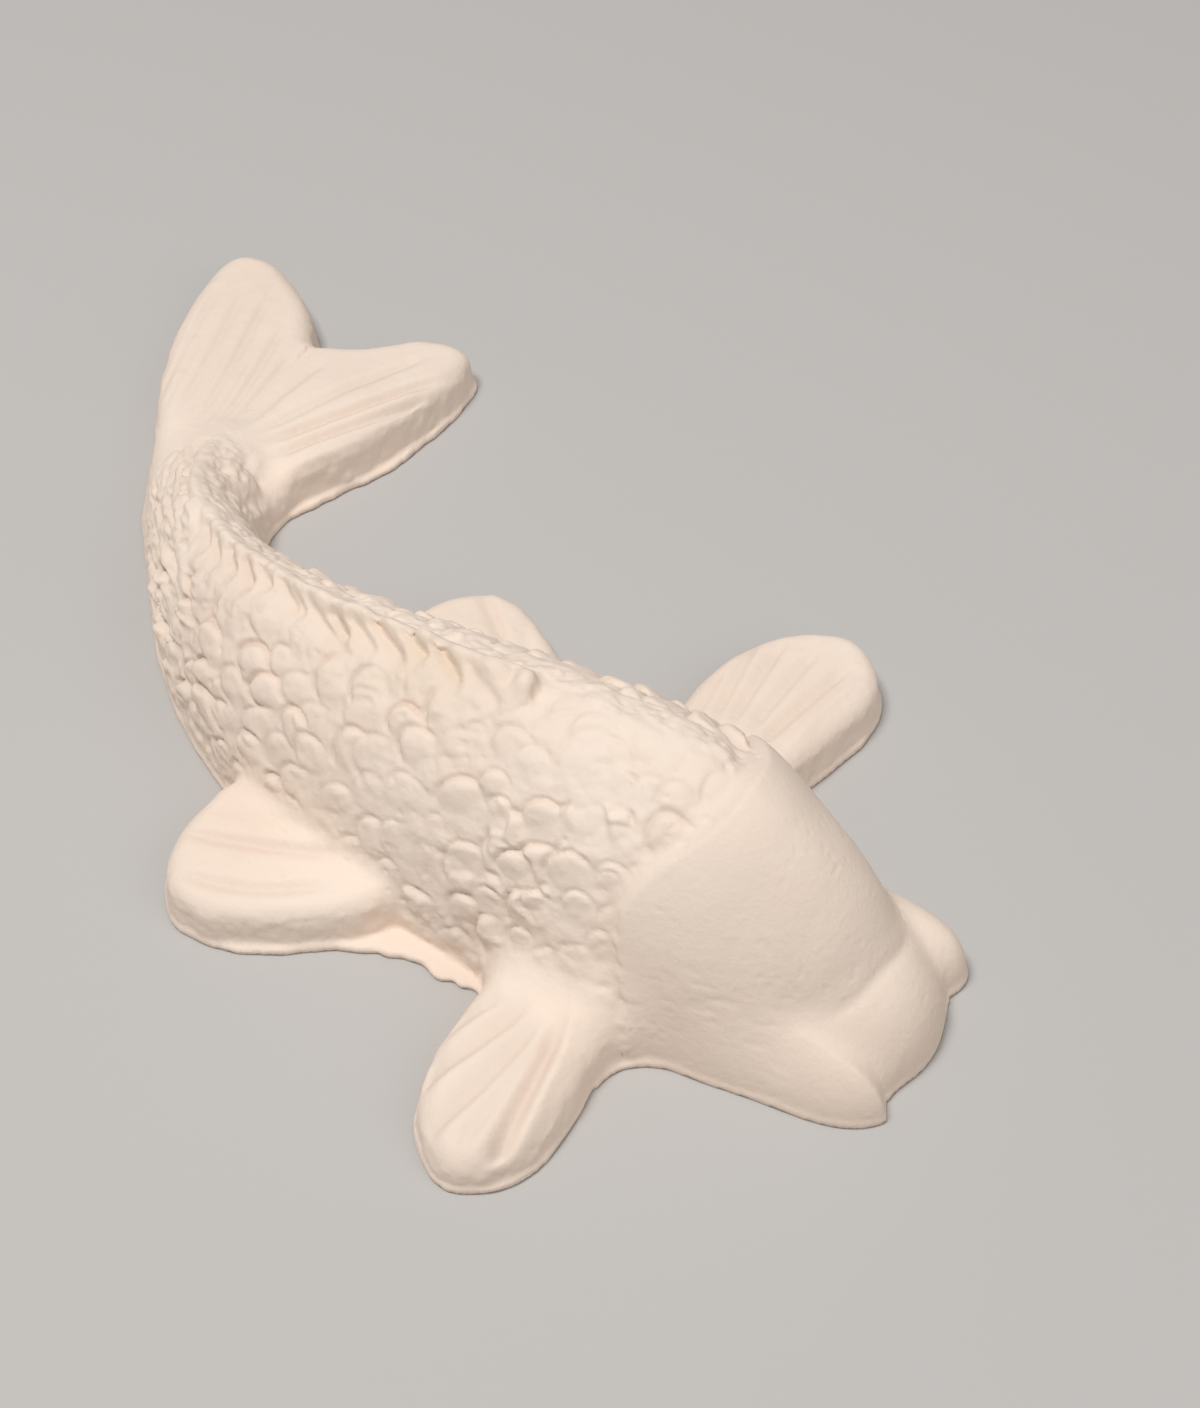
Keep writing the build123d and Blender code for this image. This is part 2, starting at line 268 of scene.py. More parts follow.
def body_field(s, l, z):
    """Distance to the body from nose to tail root, dorsal fin and gill plates included."""
    width = at_station(s, fine_widths)
    height = at_station(s, fine_heights)
    power = at_station(s, fine_powers)
    level = np.maximum(z - dorsal_lift(s, l), 0)
    reach = np.maximum(np.abs(l), LEAST_REACH)
    across = (reach / width) ** power
    value = across + (level / height) ** 2 - 1
    slope_l = power * across / reach
    slope_z = 2 * level / height ** 2
    slope_s = (-power * across / width * at_station(s, fine_width_slopes)
               - 2 * level ** 2 / height ** 3 * at_station(s, fine_height_slopes))
    slope = np.hypot(slope_l, slope_z)
    slope = np.hypot(slope, np.minimum(np.abs(slope_s), slope))
    near = value / np.maximum(slope, LEAST_SLOPE) - gill_step(s, z)
    return np.maximum(near, np.maximum(BODY_BACK - s, s - BODY_FRONT))


# Snout: a rounded lip under the mouth crease
SNOUT_STATION, SNOUT_ASIDE, SNOUT_LENGTH, SNOUT_HALF_WIDTH, SNOUT_HEIGHT = 20.3, -0.5, 7.7, 8.4, 8.9


def snout_field(s, l, z):
    """Distance to the snout."""
    a = (s - SNOUT_STATION) / SNOUT_LENGTH
    b = (l - SNOUT_ASIDE) / SNOUT_HALF_WIDTH
    c = z / SNOUT_HEIGHT
    value = a * a + b * b + c * c - 1
    slope = 2 * np.sqrt((a / SNOUT_LENGTH) ** 2 + (b / SNOUT_HALF_WIDTH) ** 2 + (c / SNOUT_HEIGHT) ** 2)
    return value / np.maximum(slope, LEAST_SLOPE)


# Left jaw line and the barbels: station, offset, toe, length, half width, height, and fullness along, across and up
JAWS = {
    "left_jaw": (10.5, 8.4, -1.0, 9.5, 3.0, 3.6, 2.4, 1.6, 2.0),
    "left_barbel": (21.0, 8.3, 0.0, 5.5, 3.2, 5.7, 2.6, 2.0, 2.4),
    "right_barbel": (17.0, -8.8, 4.0, 11.0, 3.2, 6.2, 3.6, 1.3, 2.0),
}
BARBELS_FROM = 17.0


def jaw_field(s, l, z, name):
    """Distance to a jaw line or barbel."""
    station, offset, toe, length, half_width, height, *full = JAWS[name]
    ahead, out = s - station, l - offset
    turn = radians(toe)
    value, slopes = -1.0, 0.0
    for way, size, power in ((ahead * cos(turn) + out * sin(turn), length, full[0]),
                             (out * cos(turn) - ahead * sin(turn), half_width, full[1]), (z, height, full[2])):
        share = np.maximum(np.abs(way), LEAST_REACH) / size
        value = value + share ** power
        slopes = slopes + (power * share ** (power - 1) / size) ** 2
    return value / np.maximum(np.sqrt(slopes), LEAST_SLOPE)


def smooth_path(points, closed, steps=8):
    """Points along a smooth curve through the given points."""
    points = np.asarray(points, float)
    count = len(points)
    out = []
    for i in range(count if closed else count - 1):
        if closed:
            p0, p1, p2, p3 = (points[(i + k) % count] for k in (-1, 0, 1, 2))
        else:
            p1, p2 = points[i], points[i + 1]
            p0 = points[i - 1] if i else 2 * p1 - p2
            p3 = points[i + 2] if i + 2 < count else 2 * p2 - p1
        for k in range(steps):
            t = k / steps
            out.append(0.5 * (2 * p1 + (p2 - p0) * t + (2 * p0 - 5 * p1 + 4 * p2 - p3) * t * t
                              + (3 * p1 - p0 - 3 * p2 + p3) * t ** 3))
    if not closed:
        out.append(points[-1])
    return np.array(out)


def outline_distance(x, y, outline):
    """Signed plan distance to a closed outline, negative inside it."""
    shape = np.broadcast(x, y).shape
    best = np.full(shape, HUGE, np.float32)
    inside = np.zeros(shape, bool)
    for (ax, ay), (bx, by) in zip(outline, np.roll(outline, -1, axis=0)):
        ex, ey = bx - ax, by - ay
        px, py = x - ax, y - ay
        t = np.clip((px * ex + py * ey) / (ex * ex + ey * ey + TINY), 0, 1)
        best = np.minimum(best, (px - t * ex) ** 2 + (py - t * ey) ** 2)
        if ay != by:
            inside ^= ((ay > y) != (by > y)) & (px < py / ey * ex)
    return np.where(inside, -np.sqrt(best), np.sqrt(best))


def slab_field(edge, over, radius):
    """Slab with a rounded upper edge: plan distance to its outline, and height over its top."""
    a = edge + radius
    b = over + radius
    return np.minimum(np.maximum(a, b), 0) + np.hypot(np.maximum(a, 0), np.maximum(b, 0)) - radius


# Paired fins: outlines as shares of length and width. Side is 1 on the left and -1 on the right, tops are heights at
# root and tip, and the web widens the fillet ahead of the root.
LEFT_PECTORAL_SHARES = [
    (0, 0.37), (0.3, 0.41), (0.6, 0.49), (0.8, 0.5), (0.93, 0.37), (1, 0.08),
    (0.94, -0.22), (0.82, -0.43), (0.62, -0.54), (0.42, -0.52), (0.2, -0.47), (0, -0.4),
]
RIGHT_PECTORAL_SHARES = [
    (0, 0.42), (0.3, 0.46), (0.6, 0.49), (0.8, 0.44), (0.93, 0.29), (1, 0.02),
    (0.95, -0.22), (0.82, -0.42), (0.62, -0.52), (0.42, -0.5), (0.2, -0.45), (0, -0.4),
]
LEFT_PELVIC_SHARES = [
    (-0.05, 0.42), (0.18, 0.5), (0.51, 0.41), (0.83, 0.25), (0.95, 0.14), (1, 0.02),
    (0.95, -0.16), (0.81, -0.32), (0.65, -0.41), (0.45, -0.47), (0, -0.4), (-0.2, 0),
]
RIGHT_PELVIC_SHARES = [
    (-0.05, 0.45), (0.18, 0.54), (0.51, 0.46), (0.83, 0.29), (0.95, 0.16), (1, 0.02),
    (0.95, -0.16), (0.81, -0.31), (0.65, -0.4), (0.45, -0.47), (0, -0.4), (-0.2, 0),
]
Fin = namedtuple("Fin", "station side sweep length width shares root_top tip_top fillet edge_radius web")
FINS = {
    "left_pectoral_fin": Fin(-3.5, 1, -6.5, 30.3, 14.8, LEFT_PECTORAL_SHARES, 5.6, 4.6, 2.0, 1.5, 0.0),
    "right_pectoral_fin": Fin(-2.7, -1, -4.0, 26.5, 13.2, RIGHT_PECTORAL_SHARES, 5.9, 4.2, 3.4, 2.5, 3.5),
    "left_pelvic_fin": Fin(-26.7, 1, 32.0, 18.2, 20.8, LEFT_PELVIC_SHARES, 5.4, 4.5, 1.5, 1.5, 0.0),
    "right_pelvic_fin": Fin(-27.0, -1, 25.6, 18.9, 20.4, RIGHT_PELVIC_SHARES, 5.6, 4.6, 1.4, 1.5, 0.0),
}
FIN_ROOT_DEPTH, FIN_CROWN, WEB_ZONE = 7.5, 0.35, (-2.0, 4.0)
WALL_DRAFT, WALL_INSET, WALL_LEVEL = 0.12, 0.22, 1.0


def fin_frame(fin):
    """Inner end of a fin, the direction out along it and its cross direction, in plan."""
    place, heading = spine_point(fin.station)
    left = np.array([-sin(heading), cos(heading)])
    turn = fin.side * radians(fin.sweep)
    out = fin.side * np.array([left[0] * cos(turn) - left[1] * sin(turn), left[0] * sin(turn) + left[1] * cos(turn)])
    return place + left * fin.side * FIN_ROOT_DEPTH, out, np.array([-out[1], out[0]])


def fin_outline(fin):
    """Outline of a fin in plan."""
    root, out, across = fin_frame(fin)
    return smooth_path([root + out * u * fin.length - across * fin.side * v * fin.width for u, v in fin.shares], True)


def drafted_edge(x, y, z, outline):
    """Plan distance to an outline whose wall leans in on the way up."""
    return outline_distance(x, y, outline) + WALL_INSET + WALL_DRAFT * (z - WALL_LEVEL)


def fin_field(x, y, z, fin):
    """Distance to a fin."""
    root, out, across = fin_frame(fin)
    u = ((x - root[0]) * out[0] + (y - root[1]) * out[1]) / fin.length
    v = ((x - root[0]) * across[0] + (y - root[1]) * across[1]) / (fin.width / 2)
    top = fin.root_top + (fin.tip_top - fin.root_top) * np.clip(u, 0, 1) - FIN_CROWN * np.clip(v * v, 0, 1)
    return slab_field(drafted_edge(x, y, z, fin_outline(fin)), z - top, fin.edge_radius)


# Tail: two lobes that part at a notch, in a frame where u runs back from the tail root and v to the fish's right. A
# lobe has length, spread, extra fullness at the root, and its inner edge as shares of the way to the tip and of spread.
TAIL_TURN, TAIL_ROOT_OVERLAP, TAIL_NOTCH = 13.5, 5.0, 25.1
LOBE_ROOT_SHARE = 0.25
LOBE_OUTER_SHARES = [
    (0.05, 0.42), (0.16, 0.54), (0.28, 0.68), (0.44, 0.81), (0.6, 0.91), (0.74, 0.97),
    (0.87, 1), (0.95, 0.97), (0.99, 0.88), (1, 0.74),
]
RIGHT_LOBE = 37.3, 16.85, 1.3, [(0.95, 0.60), (0.77, 0.43), (0.55, 0.26), (0.31, 0.12)]
LEFT_LOBE = 30.8, 17.5, -0.3, [(0.87, 0.54), (0.56, 0.42), (0.22, 0.26), (0.06, 0.12)]
TAIL_EDGE_RADIUS = 1.9

# Its top: height, fall towards the tips, groove between the lobes, and hollows as depth, u, length, v and width
TAIL_TOP, TAIL_TIP_FALL, TAIL_TIP_ZONE = 5.8, 1.0, (0.45, 1.0)
TAIL_GROOVE_DEPTH, TAIL_GROOVE_WIDTH, TAIL_GROOVE_ZONE = 0.35, 1.6, (4.0, 14.0)
TAIL_HOLLOWS = [(2.5, -1.4, 6.0, -4.6, 3.4), (1.3, -2.4, 2.8, -5.0, 1.7)]

tail_place, tail_heading = spine_point(-BODY_LENGTH)
tail_course = tail_heading + radians(180 - TAIL_TURN)
tail_along = np.array([cos(tail_course), sin(tail_course)])
tail_right = np.array([-tail_along[1], tail_along[0]])


def lobe_edge(lobe, flip):
    """Edge of a tail lobe from the root round the tip to the notch, as u and v."""
    length, spread, fuller, inner_shares = lobe
    edge = [(-TAIL_ROOT_OVERLAP, LOBE_ROOT_SHARE * spread)]
    edge += [(u * length, v * spread + fuller * (1 - u)) for u, v in LOBE_OUTER_SHARES]
    edge += [(TAIL_NOTCH + way * (length - TAIL_NOTCH), v * spread) for way, v in inner_shares]
    edge.append((TAIL_NOTCH, 0.0))
    return smooth_path([(u, flip * v) for u, v in edge], False)


tail_edge = np.vstack([lobe_edge(RIGHT_LOBE, 1), lobe_edge(LEFT_LOBE, -1)[::-1][1:]])
tail_outline = tail_place + tail_edge[:, :1] * tail_along + tail_edge[:, 1:] * tail_right


def tail_coords(x, y):
    """Plan points in the tail's frame."""
    u = (x - tail_place[0]) * tail_along[0] + (y - tail_place[1]) * tail_along[1]
    v = (x - tail_place[0]) * tail_right[0] + (y - tail_place[1]) * tail_right[1]
    return u, v


def tail_field(x, y, z):
    """Distance to the tail."""
    u, v = tail_coords(x, y)
    top = TAIL_TOP - TAIL_TIP_FALL * ramp(*TAIL_TIP_ZONE, u / np.where(v > 0, RIGHT_LOBE[0], LEFT_LOBE[0]))
    top = top - TAIL_GROOVE_DEPTH * np.exp(-(v / TAIL_GROOVE_WIDTH) ** 2) * ramp(*TAIL_GROOVE_ZONE, u)
    for depth, along, length, aside, width in TAIL_HOLLOWS:
        top = top - depth * hump(u, along, length, v, aside, width)
    return slab_field(drafted_edge(x, y, z, tail_outline), z - top, TAIL_EDGE_RADIUS)


# The whole form as one distance field on a grid, which is worked out only in the columns near each part of the form
GRID_LOW, GRID_HIGH = np.array([-90.5, -37.0, -4 * VOXEL]), np.array([31.0, 63.5, 26.4])
OUTSIDE, FAR = 6.0, 1.6
BODY_MARGIN, BODY_COLUMNS, HEAD_COLUMNS, HEAD_REACH = 5, (-95, 33), (0, 32), 17
JAW_FILLET, SNOUT_FILLET, SNOUT_FILLET_MORE, SNOUT_FILLET_ZONE = 3.0, 2.0, 0.6, (-3.0, -8.0)
TAIL_MARGIN, TAIL_FILLET, FIN_MARGIN = 4.0, 2.4, 8.0
grid_count = np.ceil((GRID_HIGH - GRID_LOW) / VOXEL).astype(int) + 1
axis_x, axis_y, axis_z = (GRID_LOW[i] + VOXEL * np.arange(grid_count[i]) for i in range(3))
plan_x, plan_y = (v.ravel() for v in np.meshgrid(axis_x, axis_y, indexing="ij"))
plan_s, plan_l = spine_coords(plan_x, plan_y)
field = np.full((len(plan_x), len(axis_z)), OUTSIDE, np.float32)
levels = axis_z[None, :].astype(np.float32)


def columns_near(outline, margin):
    """Grid columns in the box of an outline."""
    low, high = outline.min(0) - margin, outline.max(0) + margin
    return np.flatnonzero(between(plan_x, low[0], high[0]) & between(plan_y, low[1], high[1]))


def column(values, picked):
    """Plan values of the picked columns, to be set against the levels."""
    return values[picked][:, None].astype(np.float32)


near = (np.abs(plan_l) < at_station(plan_s, fine_widths) + BODY_MARGIN) & between(plan_s, *BODY_COLUMNS)
near = np.flatnonzero(near)
field[near] = body_field(column(plan_s, near), column(plan_l, near), levels)
near = np.flatnonzero(between(plan_s, *HEAD_COLUMNS) & (np.abs(plan_l) < HEAD_REACH))
snout_s, snout_l = column(plan_s, near), column(plan_l, near)
head_part = field[near]
for name in JAWS:
    head_part = join(head_part, jaw_field(snout_s, snout_l, levels, name), JAW_FILLET)
field[near] = join(head_part, snout_field(snout_s, snout_l, levels),
                   SNOUT_FILLET + SNOUT_FILLET_MORE * ramp(*SNOUT_FILLET_ZONE, snout_l))
near = columns_near(tail_outline, TAIL_MARGIN)
field[near] = join(field[near], tail_field(column(plan_x, near), column(plan_y, near), levels), TAIL_FILLET)
for fin in FINS.values():
    near = columns_near(fin_outline(fin), FIN_MARGIN)
    web = fin.web * ramp(*WEB_ZONE, column(plan_x, near)) if fin.web else 0.0
    part = fin_field(column(plan_x, near), column(plan_y, near), levels, fin)
    field[near] = join(field[near], part, fin.fillet + web)

# Flash: a thin ragged lip where the plaster met the open side of the mould; wide spots as plan place, size and reach
FLASH_SPOTS = [
    (-14, -15.4, 4, 1.2), (-18.5, -15.6, 3.5, 1.3), (-57.5, 31.5, 4, 0.4), (-53.5, 41, 5, 0.6),
    (-51.5, 48, 4, 0.4), (-28, -20.5, 6, 0.35), (6.5, 29, 4, 0.15),
]
FLASH_REACH, FLASH_REACH_RAGGED, FLASH_SPOT_RAGGED = 0.19, 0.13, 0.6
FLASH_HEAD_FADE, FLASH_HEAD_ZONE = 0.6, (5.0, 10.0)
FLASH_TOP, FLASH_TOP_WAVER, FLASH_EDGE_RADIUS, FLASH_FILLET = 0.75, 0.12, 0.25, 0.35
FLASH_LEVEL, FLASH_COLUMNS = 0.5, (-1.5, 3.0)
base_edge = field[:, int(round((FLASH_LEVEL - GRID_LOW[2]) / VOXEL))]
ragged = 0.75 * lattice_noise(plan_x, plan_y, 0.0, 2.3, 11) + 0.25 * lattice_noise(plan_x, plan_y, 3.0, 1.1, 12)
flash_reach = (FLASH_REACH + FLASH_REACH_RAGGED * ragged) * (1 - FLASH_HEAD_FADE * ramp(*FLASH_HEAD_ZONE, plan_x))
for spot_x, spot_y, spot_size, spot_reach in FLASH_SPOTS:
    near = np.exp(-((plan_x - spot_x) ** 2 + (plan_y - spot_y) ** 2) / spot_size ** 2)
    flash_reach = flash_reach + near * spot_reach * (1 + FLASH_SPOT_RAGGED * ragged)
flash_top = FLASH_TOP + FLASH_TOP_WAVER * lattice_noise(plan_x, plan_y, 9.0, 2.5, 13)
near = np.flatnonzero(between(base_edge, *FLASH_COLUMNS))
flash = slab_field((base_edge - flash_reach)[near][:, None], levels - flash_top[near][:, None], FLASH_EDGE_RADIUS)
field[near] = join(field[near], flash.astype(np.float32), FLASH_FILLET)
field = np.maximum(field, -levels)
np.clip(field, -FAR, FAR, out=field)

volume = openvdb.FloatGrid(FAR)
volume.copyFromArray(field.reshape(grid_count))
points, quads = volume.convertToQuads(0.0)
points = GRID_LOW + np.asarray(points, float) * VOXEL
quads = np.asarray(quads, int)
del field, volume


def face_cross(points, quads):
    """Normals of the quads, as long as twice their area."""
    return np.cross(points[quads[:, 2]] - points[quads[:, 0]], points[quads[:, 3]] - points[quads[:, 1]])


def unit_rows(vectors, least=TINY):
    """Vectors along the last axis, brought to length 1."""
    return vectors / np.maximum(np.linalg.norm(vectors, axis=-1), least)[..., None]


def vertex_normals(points, quads):
    """Smooth normals of the upper faces, so that the flat underside keeps a sharp rim."""
    cross = face_cross(points, quads)
    upper = points[quads][:, :, 2].max(1) > ON_TABLE
    total = np.zeros_like(points)
    for corner in range(4):
        for axis in range(3):
            total[:, axis] += np.bincount(quads[upper, corner], cross[upper, axis], len(points))
    total[np.linalg.norm(total, axis=1) < TINY] = (0, 0, -1)
    return unit_rows(total)


TABLE_SNAP = 0.04
if np.einsum("ij,ij->i", face_cross(points, quads), points[quads].mean(1)).sum() < 0:
    quads = quads[:, ::-1]
points[points[:, 2] < TABLE_SNAP, 2] = 0.0

# Where each vertex lies in the parts of the form
px, py, pz = points.T
ps, pl = spine_coords(px, py)
body_near = body_field(ps, pl, pz)
snout_near = snout_field(ps, pl, pz)
jaw_near = {name: jaw_field(ps, pl, pz, name) for name in JAWS}
tail_u, tail_v = tail_coords(px, py)
tail_near = tail_field(px, py, pz)
tail_clear = tail_near - body_near
fin_near = {name: fin_field(px, py, pz, fin) for name, fin in FINS.items()}
paired_clear = np.min([fin_near[name] - body_near for name in FINS], axis=0)
fin_clear = np.minimum(paired_clear, tail_clear)
gill_ahead, gill_bevel = gill_place(ps, pz)
normals = vertex_normals(points, quads)
bevel_ahead = gill_ahead + gill_bevel

# Scales: rounded shells in staggered rows that lie over each other towards the tail. Pitch and lean go by station, and
# each scale has its own size, lift, twist and shift. A line runs round its free edge.
SCALES_DOWN = 7.2
SCALE_PITCH = [-80, -62, -45, -20, 5], [4.0, 4.0, 3.6, 3.4, 3.4]
SCALE_LEAN = [-50.0, -22.0, 0.0], [0.15, 0.65, 0.80]
SCALE_SIZE, SCALE_SIZE_MORE = 0.74, 0.48
SCALE_LIFT, SCALE_LIFT_MORE = 0.25, 0.90
SCALE_TWIST, SCALE_SHIFT_BACK, SCALE_SHIFT_DOWN = 0.9, 0.60, 0.50
SCALE_LENGTH, SCALE_WIDTH, SCALE_ROOT_SHARE = 0.78, 0.54, 0.45
SHELL_CRISP_ZONE, SHELL_POWER, SHELL_ROOT_RISE, SHELL_RISE = (-0.1, 0.6), 3.5, 0.46, 0.54
SHELL_LINE_AT, SHELL_LINE_WIDTH, SHELL_LINE_ZONE = 1.06, 0.10, (0.0, 0.6)
NEIGHBOURS = (-1, 0, 1, 2)
HASH_ROW, HASH_PLACE, HASH_SALT, HASH_SPREAD = 127.1, 311.7, 74.7, 43758.5453

# Girth from crest to foot, in steps
GIRTH_POWER, GIRTH_STEPS = 1.65, 59
girth_angles = np.linspace(0, np.pi / 2, GIRTH_STEPS + 1)
girth_rise = np.diff(np.sin(girth_angles))
girth_reach = np.diff(np.cos(girth_angles) ** (2 / GIRTH_POWER))
fine_girths = np.zeros(len(fine_stations))
for reach, rise in zip(girth_reach, girth_rise):
    fine_girths += np.hypot(fine_widths * reach, fine_heights * rise)
fine_pitch = np.interp(fine_stations, *SCALE_PITCH)
fine_rows = np.cumsum(FINE_STEP / fine_pitch)
fine_rows = fine_rows[-1] - fine_rows


def flank_way(s, l, z):
    """Way down the flank from the crest, as a share of the girth from crest to foot, negative on the fish's right."""
    width = at_station(s, fine_widths)
    height = at_station(s, fine_heights)
    angle = np.arctan2(np.clip(z / height, 0, 1), np.clip(np.abs(l) / width, 0, 1) ** (GIRTH_POWER / 2))
    passed = np.clip((np.pi / 2 - angle) / (np.pi / 2) * GIRTH_STEPS, 0, GIRTH_STEPS)
    total = np.zeros(np.shape(s))
    for i, (reach, rise) in enumerate(zip(girth_reach[::-1], girth_rise[::-1])):
        total += np.clip(passed - i, 0, 1) * np.hypot(width * reach, height * rise)
    return np.sign(l) * total / at_station(s, fine_girths)


def hash_number(row, place, salt):
    """Number from 0 to 1 that belongs to one scale."""
    value = np.sin(row * HASH_ROW + place * HASH_PLACE + salt * HASH_SALT) * HASH_SPREAD
    return value - np.floor(value)


def shell_shape(u, r, lift):
    """One scale: height, and the line round its free edge. u runs to the free edge, r is 1 on the rim."""
    inside = np.minimum(r, 1)
    crisp = ramp(*SHELL_CRISP_ZONE, u)
    across = crisp * np.sqrt(1 - inside ** SHELL_POWER) + (1 - crisp) * (1 - inside ** 2)
    line = lift * np.exp(-((r - SHELL_LINE_AT) / SHELL_LINE_WIDTH) ** 2) * ramp(*SHELL_LINE_ZONE, u)
    return lift * across * np.maximum(SHELL_ROOT_RISE + SHELL_RISE * u, 0), line


def scale_relief(s, way, wander_back, wander_down):
    """Height of the scales, and strength of the line round their free edges, before fading."""
    pitch = at_station(s, fine_pitch)
    unit = at_station(s, fine_girths) / SCALES_DOWN
    row_at = at_station(s, fine_rows) + wander_back
    across_at = way * SCALES_DOWN + wander_down
    lean = np.interp(s, *SCALE_LEAN)
    height = np.zeros(np.shape(s))
    line = np.zeros(np.shape(s))
    for step_row in NEIGHBOURS:
        row = np.floor(row_at) + step_row
        shift = 0.5 * np.mod(row, 2)
        for step_place in NEIGHBOURS:
            place = np.floor(across_at - shift) + step_place
            size = SCALE_SIZE + SCALE_SIZE_MORE * hash_number(row, place, 3)
            lift = SCALE_LIFT + SCALE_LIFT_MORE * hash_number(row, place, 4)
            turn = lean + (hash_number(row, place, 5) - 0.5) * SCALE_TWIST
            back = (row_at - row - (hash_number(row, place, 1) - 0.5) * SCALE_SHIFT_BACK) * pitch
            down = across_at - place - shift - (hash_number(row, place, 2) - 0.5) * SCALE_SHIFT_DOWN
            rise = -np.sign(way) * down * unit
            u = (back * np.cos(turn) + rise * np.sin(turn)) / (SCALE_LENGTH * pitch * size)
            v = (rise * np.cos(turn) - back * np.sin(turn)) / (SCALE_WIDTH * unit * size)
            shell, edge = shell_shape(u, np.hypot(np.where(u > 0, u, SCALE_ROOT_SHARE * u), v), lift)
            height = np.maximum(height, shell)
            line = np.maximum(line, edge)
    return height, line


def noise(size, seed):
    """Smooth noise over the surface."""
    return lattice_noise(px, py, pz, size, seed)


def lumps(*layers):
    """Lumpy relief in layers, each with its height, size and seed."""
    return sum(height * noise(size, seed) for height, size, seed in layers)


def zoned(value, *changes):
    """Values times 1 plus each change, inside the zones that come with it."""
    for change, *zones in changes:
        value = value * (1 + within(change, *zones))
    return value


def groove_depth(x, y, path, rear_width, front_width, fade_in=0.22, fade_out=0.25):
    """Share of a groove's depth at plan points, from a row of points that it runs through; it fades at both ends."""
    path = smooth_path(np.reshape(path, (-1, 2)), False, steps=4)
    best = np.full(np.shape(x), HUGE)
    along = np.zeros(np.shape(x))
    side = np.zeros(np.shape(x))
    lengths = np.linalg.norm(np.diff(path, axis=0), axis=1)
    total = lengths.sum()
    start = 0.0
    for (ax, ay), (bx, by), length in zip(path, path[1:], lengths):
        ex, ey = (bx - ax) / length, (by - ay) / length
        t = np.clip((x - ax) * ex + (y - ay) * ey, 0, length)
        dx, dy = x - ax - t * ex, y - ay - t * ey
        gap = dx * dx + dy * dy
        nearer = gap < best
        best = np.where(nearer, gap, best)
        along = np.where(nearer, (start + t) / total, along)
        side = np.where(nearer, ex * dy - ey * dx, side)
        start += length
    reach = np.where(side > 0, front_width, rear_width)
    return np.exp(-best / reach ** 2) * ramp(0.0, fade_in, along) * ramp(1.0, 1 - fade_out, along)


# Where the scales lie, how strong they are there, and the worn spot on the upper back behind the head
CREST_BARE, CREST_WIDTH = 0.9, 0.8
SMOOTH_BACK_FADE, PATCH_LEAST, PATCH_MORE = 0.45, 0.55, 0.65
WANDER_BACK, WANDER_DOWN = 0.30, 0.24
way = flank_way(ps, pl, pz)
dorsal_cover = within(1.0, (dorsal_ahead(ps, pl), 0.5, -0.5), (ps, DORSAL_BACK, DORSAL_BACK + 5.0))
scaled = within(1.0, (bevel_ahead, 0.1, -1.1), (paired_clear, 0.3, 2.2), (pz, 2.0, 5.0),
                (ps, -84.0, -75.0), (tail_clear, -0.4, 2.6))
scaled = scaled * (1 - within(dorsal_cover, (pl, -5.0, -3.0), (pl, 2.0, 1.4)))
scaled = scaled * (1 - CREST_BARE * np.exp(-(pl / CREST_WIDTH) ** 2))
smooth_back = hump(ps, -7.0, 4.2, pl, -2.2, 3.2)
far_crest = within(1.0, (pl, 0.3, 1.3), (pl, 5.5, 3.0))
strength = zoned(1 - SMOOTH_BACK_FADE * smooth_back, (0.25, (ps, -8.0, -3.0), (pz, 16.0, 20.0)),
                 (0.75, (ps, -38.0, -55.0)), (-0.60, (ps, -50.0, -60.0), (pl, -0.5, 1.5)))
strength = strength * (PATCH_LEAST + PATCH_MORE * ramp(-0.6, 0.5, noise(7.0, 21)))
strength = zoned(strength, (-0.28, (pz, 13.0, 8.0), (ps, -24.0, -14.0)), (-0.65 * far_crest,),
                 (-0.75, (ps, -62.0, -69.0), (pl, 0.0, 1.5)))
shells, shell_lines = scale_relief(ps, way, WANDER_BACK * noise(6.5, 22), WANDER_DOWN * noise(6.0, 23))

# The clearest scales of the right flank one by one: middle and free end as station, offset and height; half width, lift
CLEAR_SCALES = [
    (-14, -9.3, 16, -15.1, -8.2, 17.4, 2.5, 1), (-10.3, -8.9, 16.8, -10.7, -8.6, 18.1, 1.25, 0.8),
    (-6.4, -8.6, 17.8, -7.1, -7.8, 19.2, 1.9, 1.1), (-2.8, -8.1, 19.1, -3.8, -6.9, 20.4, 2, 1.1),
    (-0.8, -5.2, 21.4, -1.6, -4.4, 22.4, 1.4, 0.9), (-4, -4.7, 22.2, -6.1, -2.4, 23.3, 2.9, 0.6),
    (-12.2, -11.3, 12, -12.7, -10.8, 13.2, 1.9, 0.9), (-7.5, -11.2, 13.5, -8.2, -10.8, 14.9, 1.85, 1.1),
    (-2.7, -10.8, 14.9, -3.7, -10.1, 16.8, 2.2, 1.2), (0.7, -10.3, 15.5, 0.1, -9.8, 16.5, 1.2, 0.8),
    (-5.1, -12.7, 11.8, -5.8, -12, 12.4, 1.4, 1), (-1.3, -11.9, 12.6, -2, -11.3, 14.1, 1.5, 1.1),
    (-9.3, -12.9, 9.6, -9.6, -12.5, 10.9, 1.4, 0.8), (1.4, -12.7, 10.1, 0.7, -12.3, 11.5, 1.4, 1),
    (-5.7, -13.6, 7.3, -6.2, -13.3, 8.6, 1.25, 0.9),
]
CLEAR_REACH, CLEAR_LIFT = 5.0, 0.85
CLEAR_RIM_ZONE, CLEAR_ROOT_ZONE, CLEAR_LINE_ZONE = (0.85, 1.10), (-1.5, -0.7), (-0.8, -1.4)
spine_places = np.column_stack([ps, pl, pz])
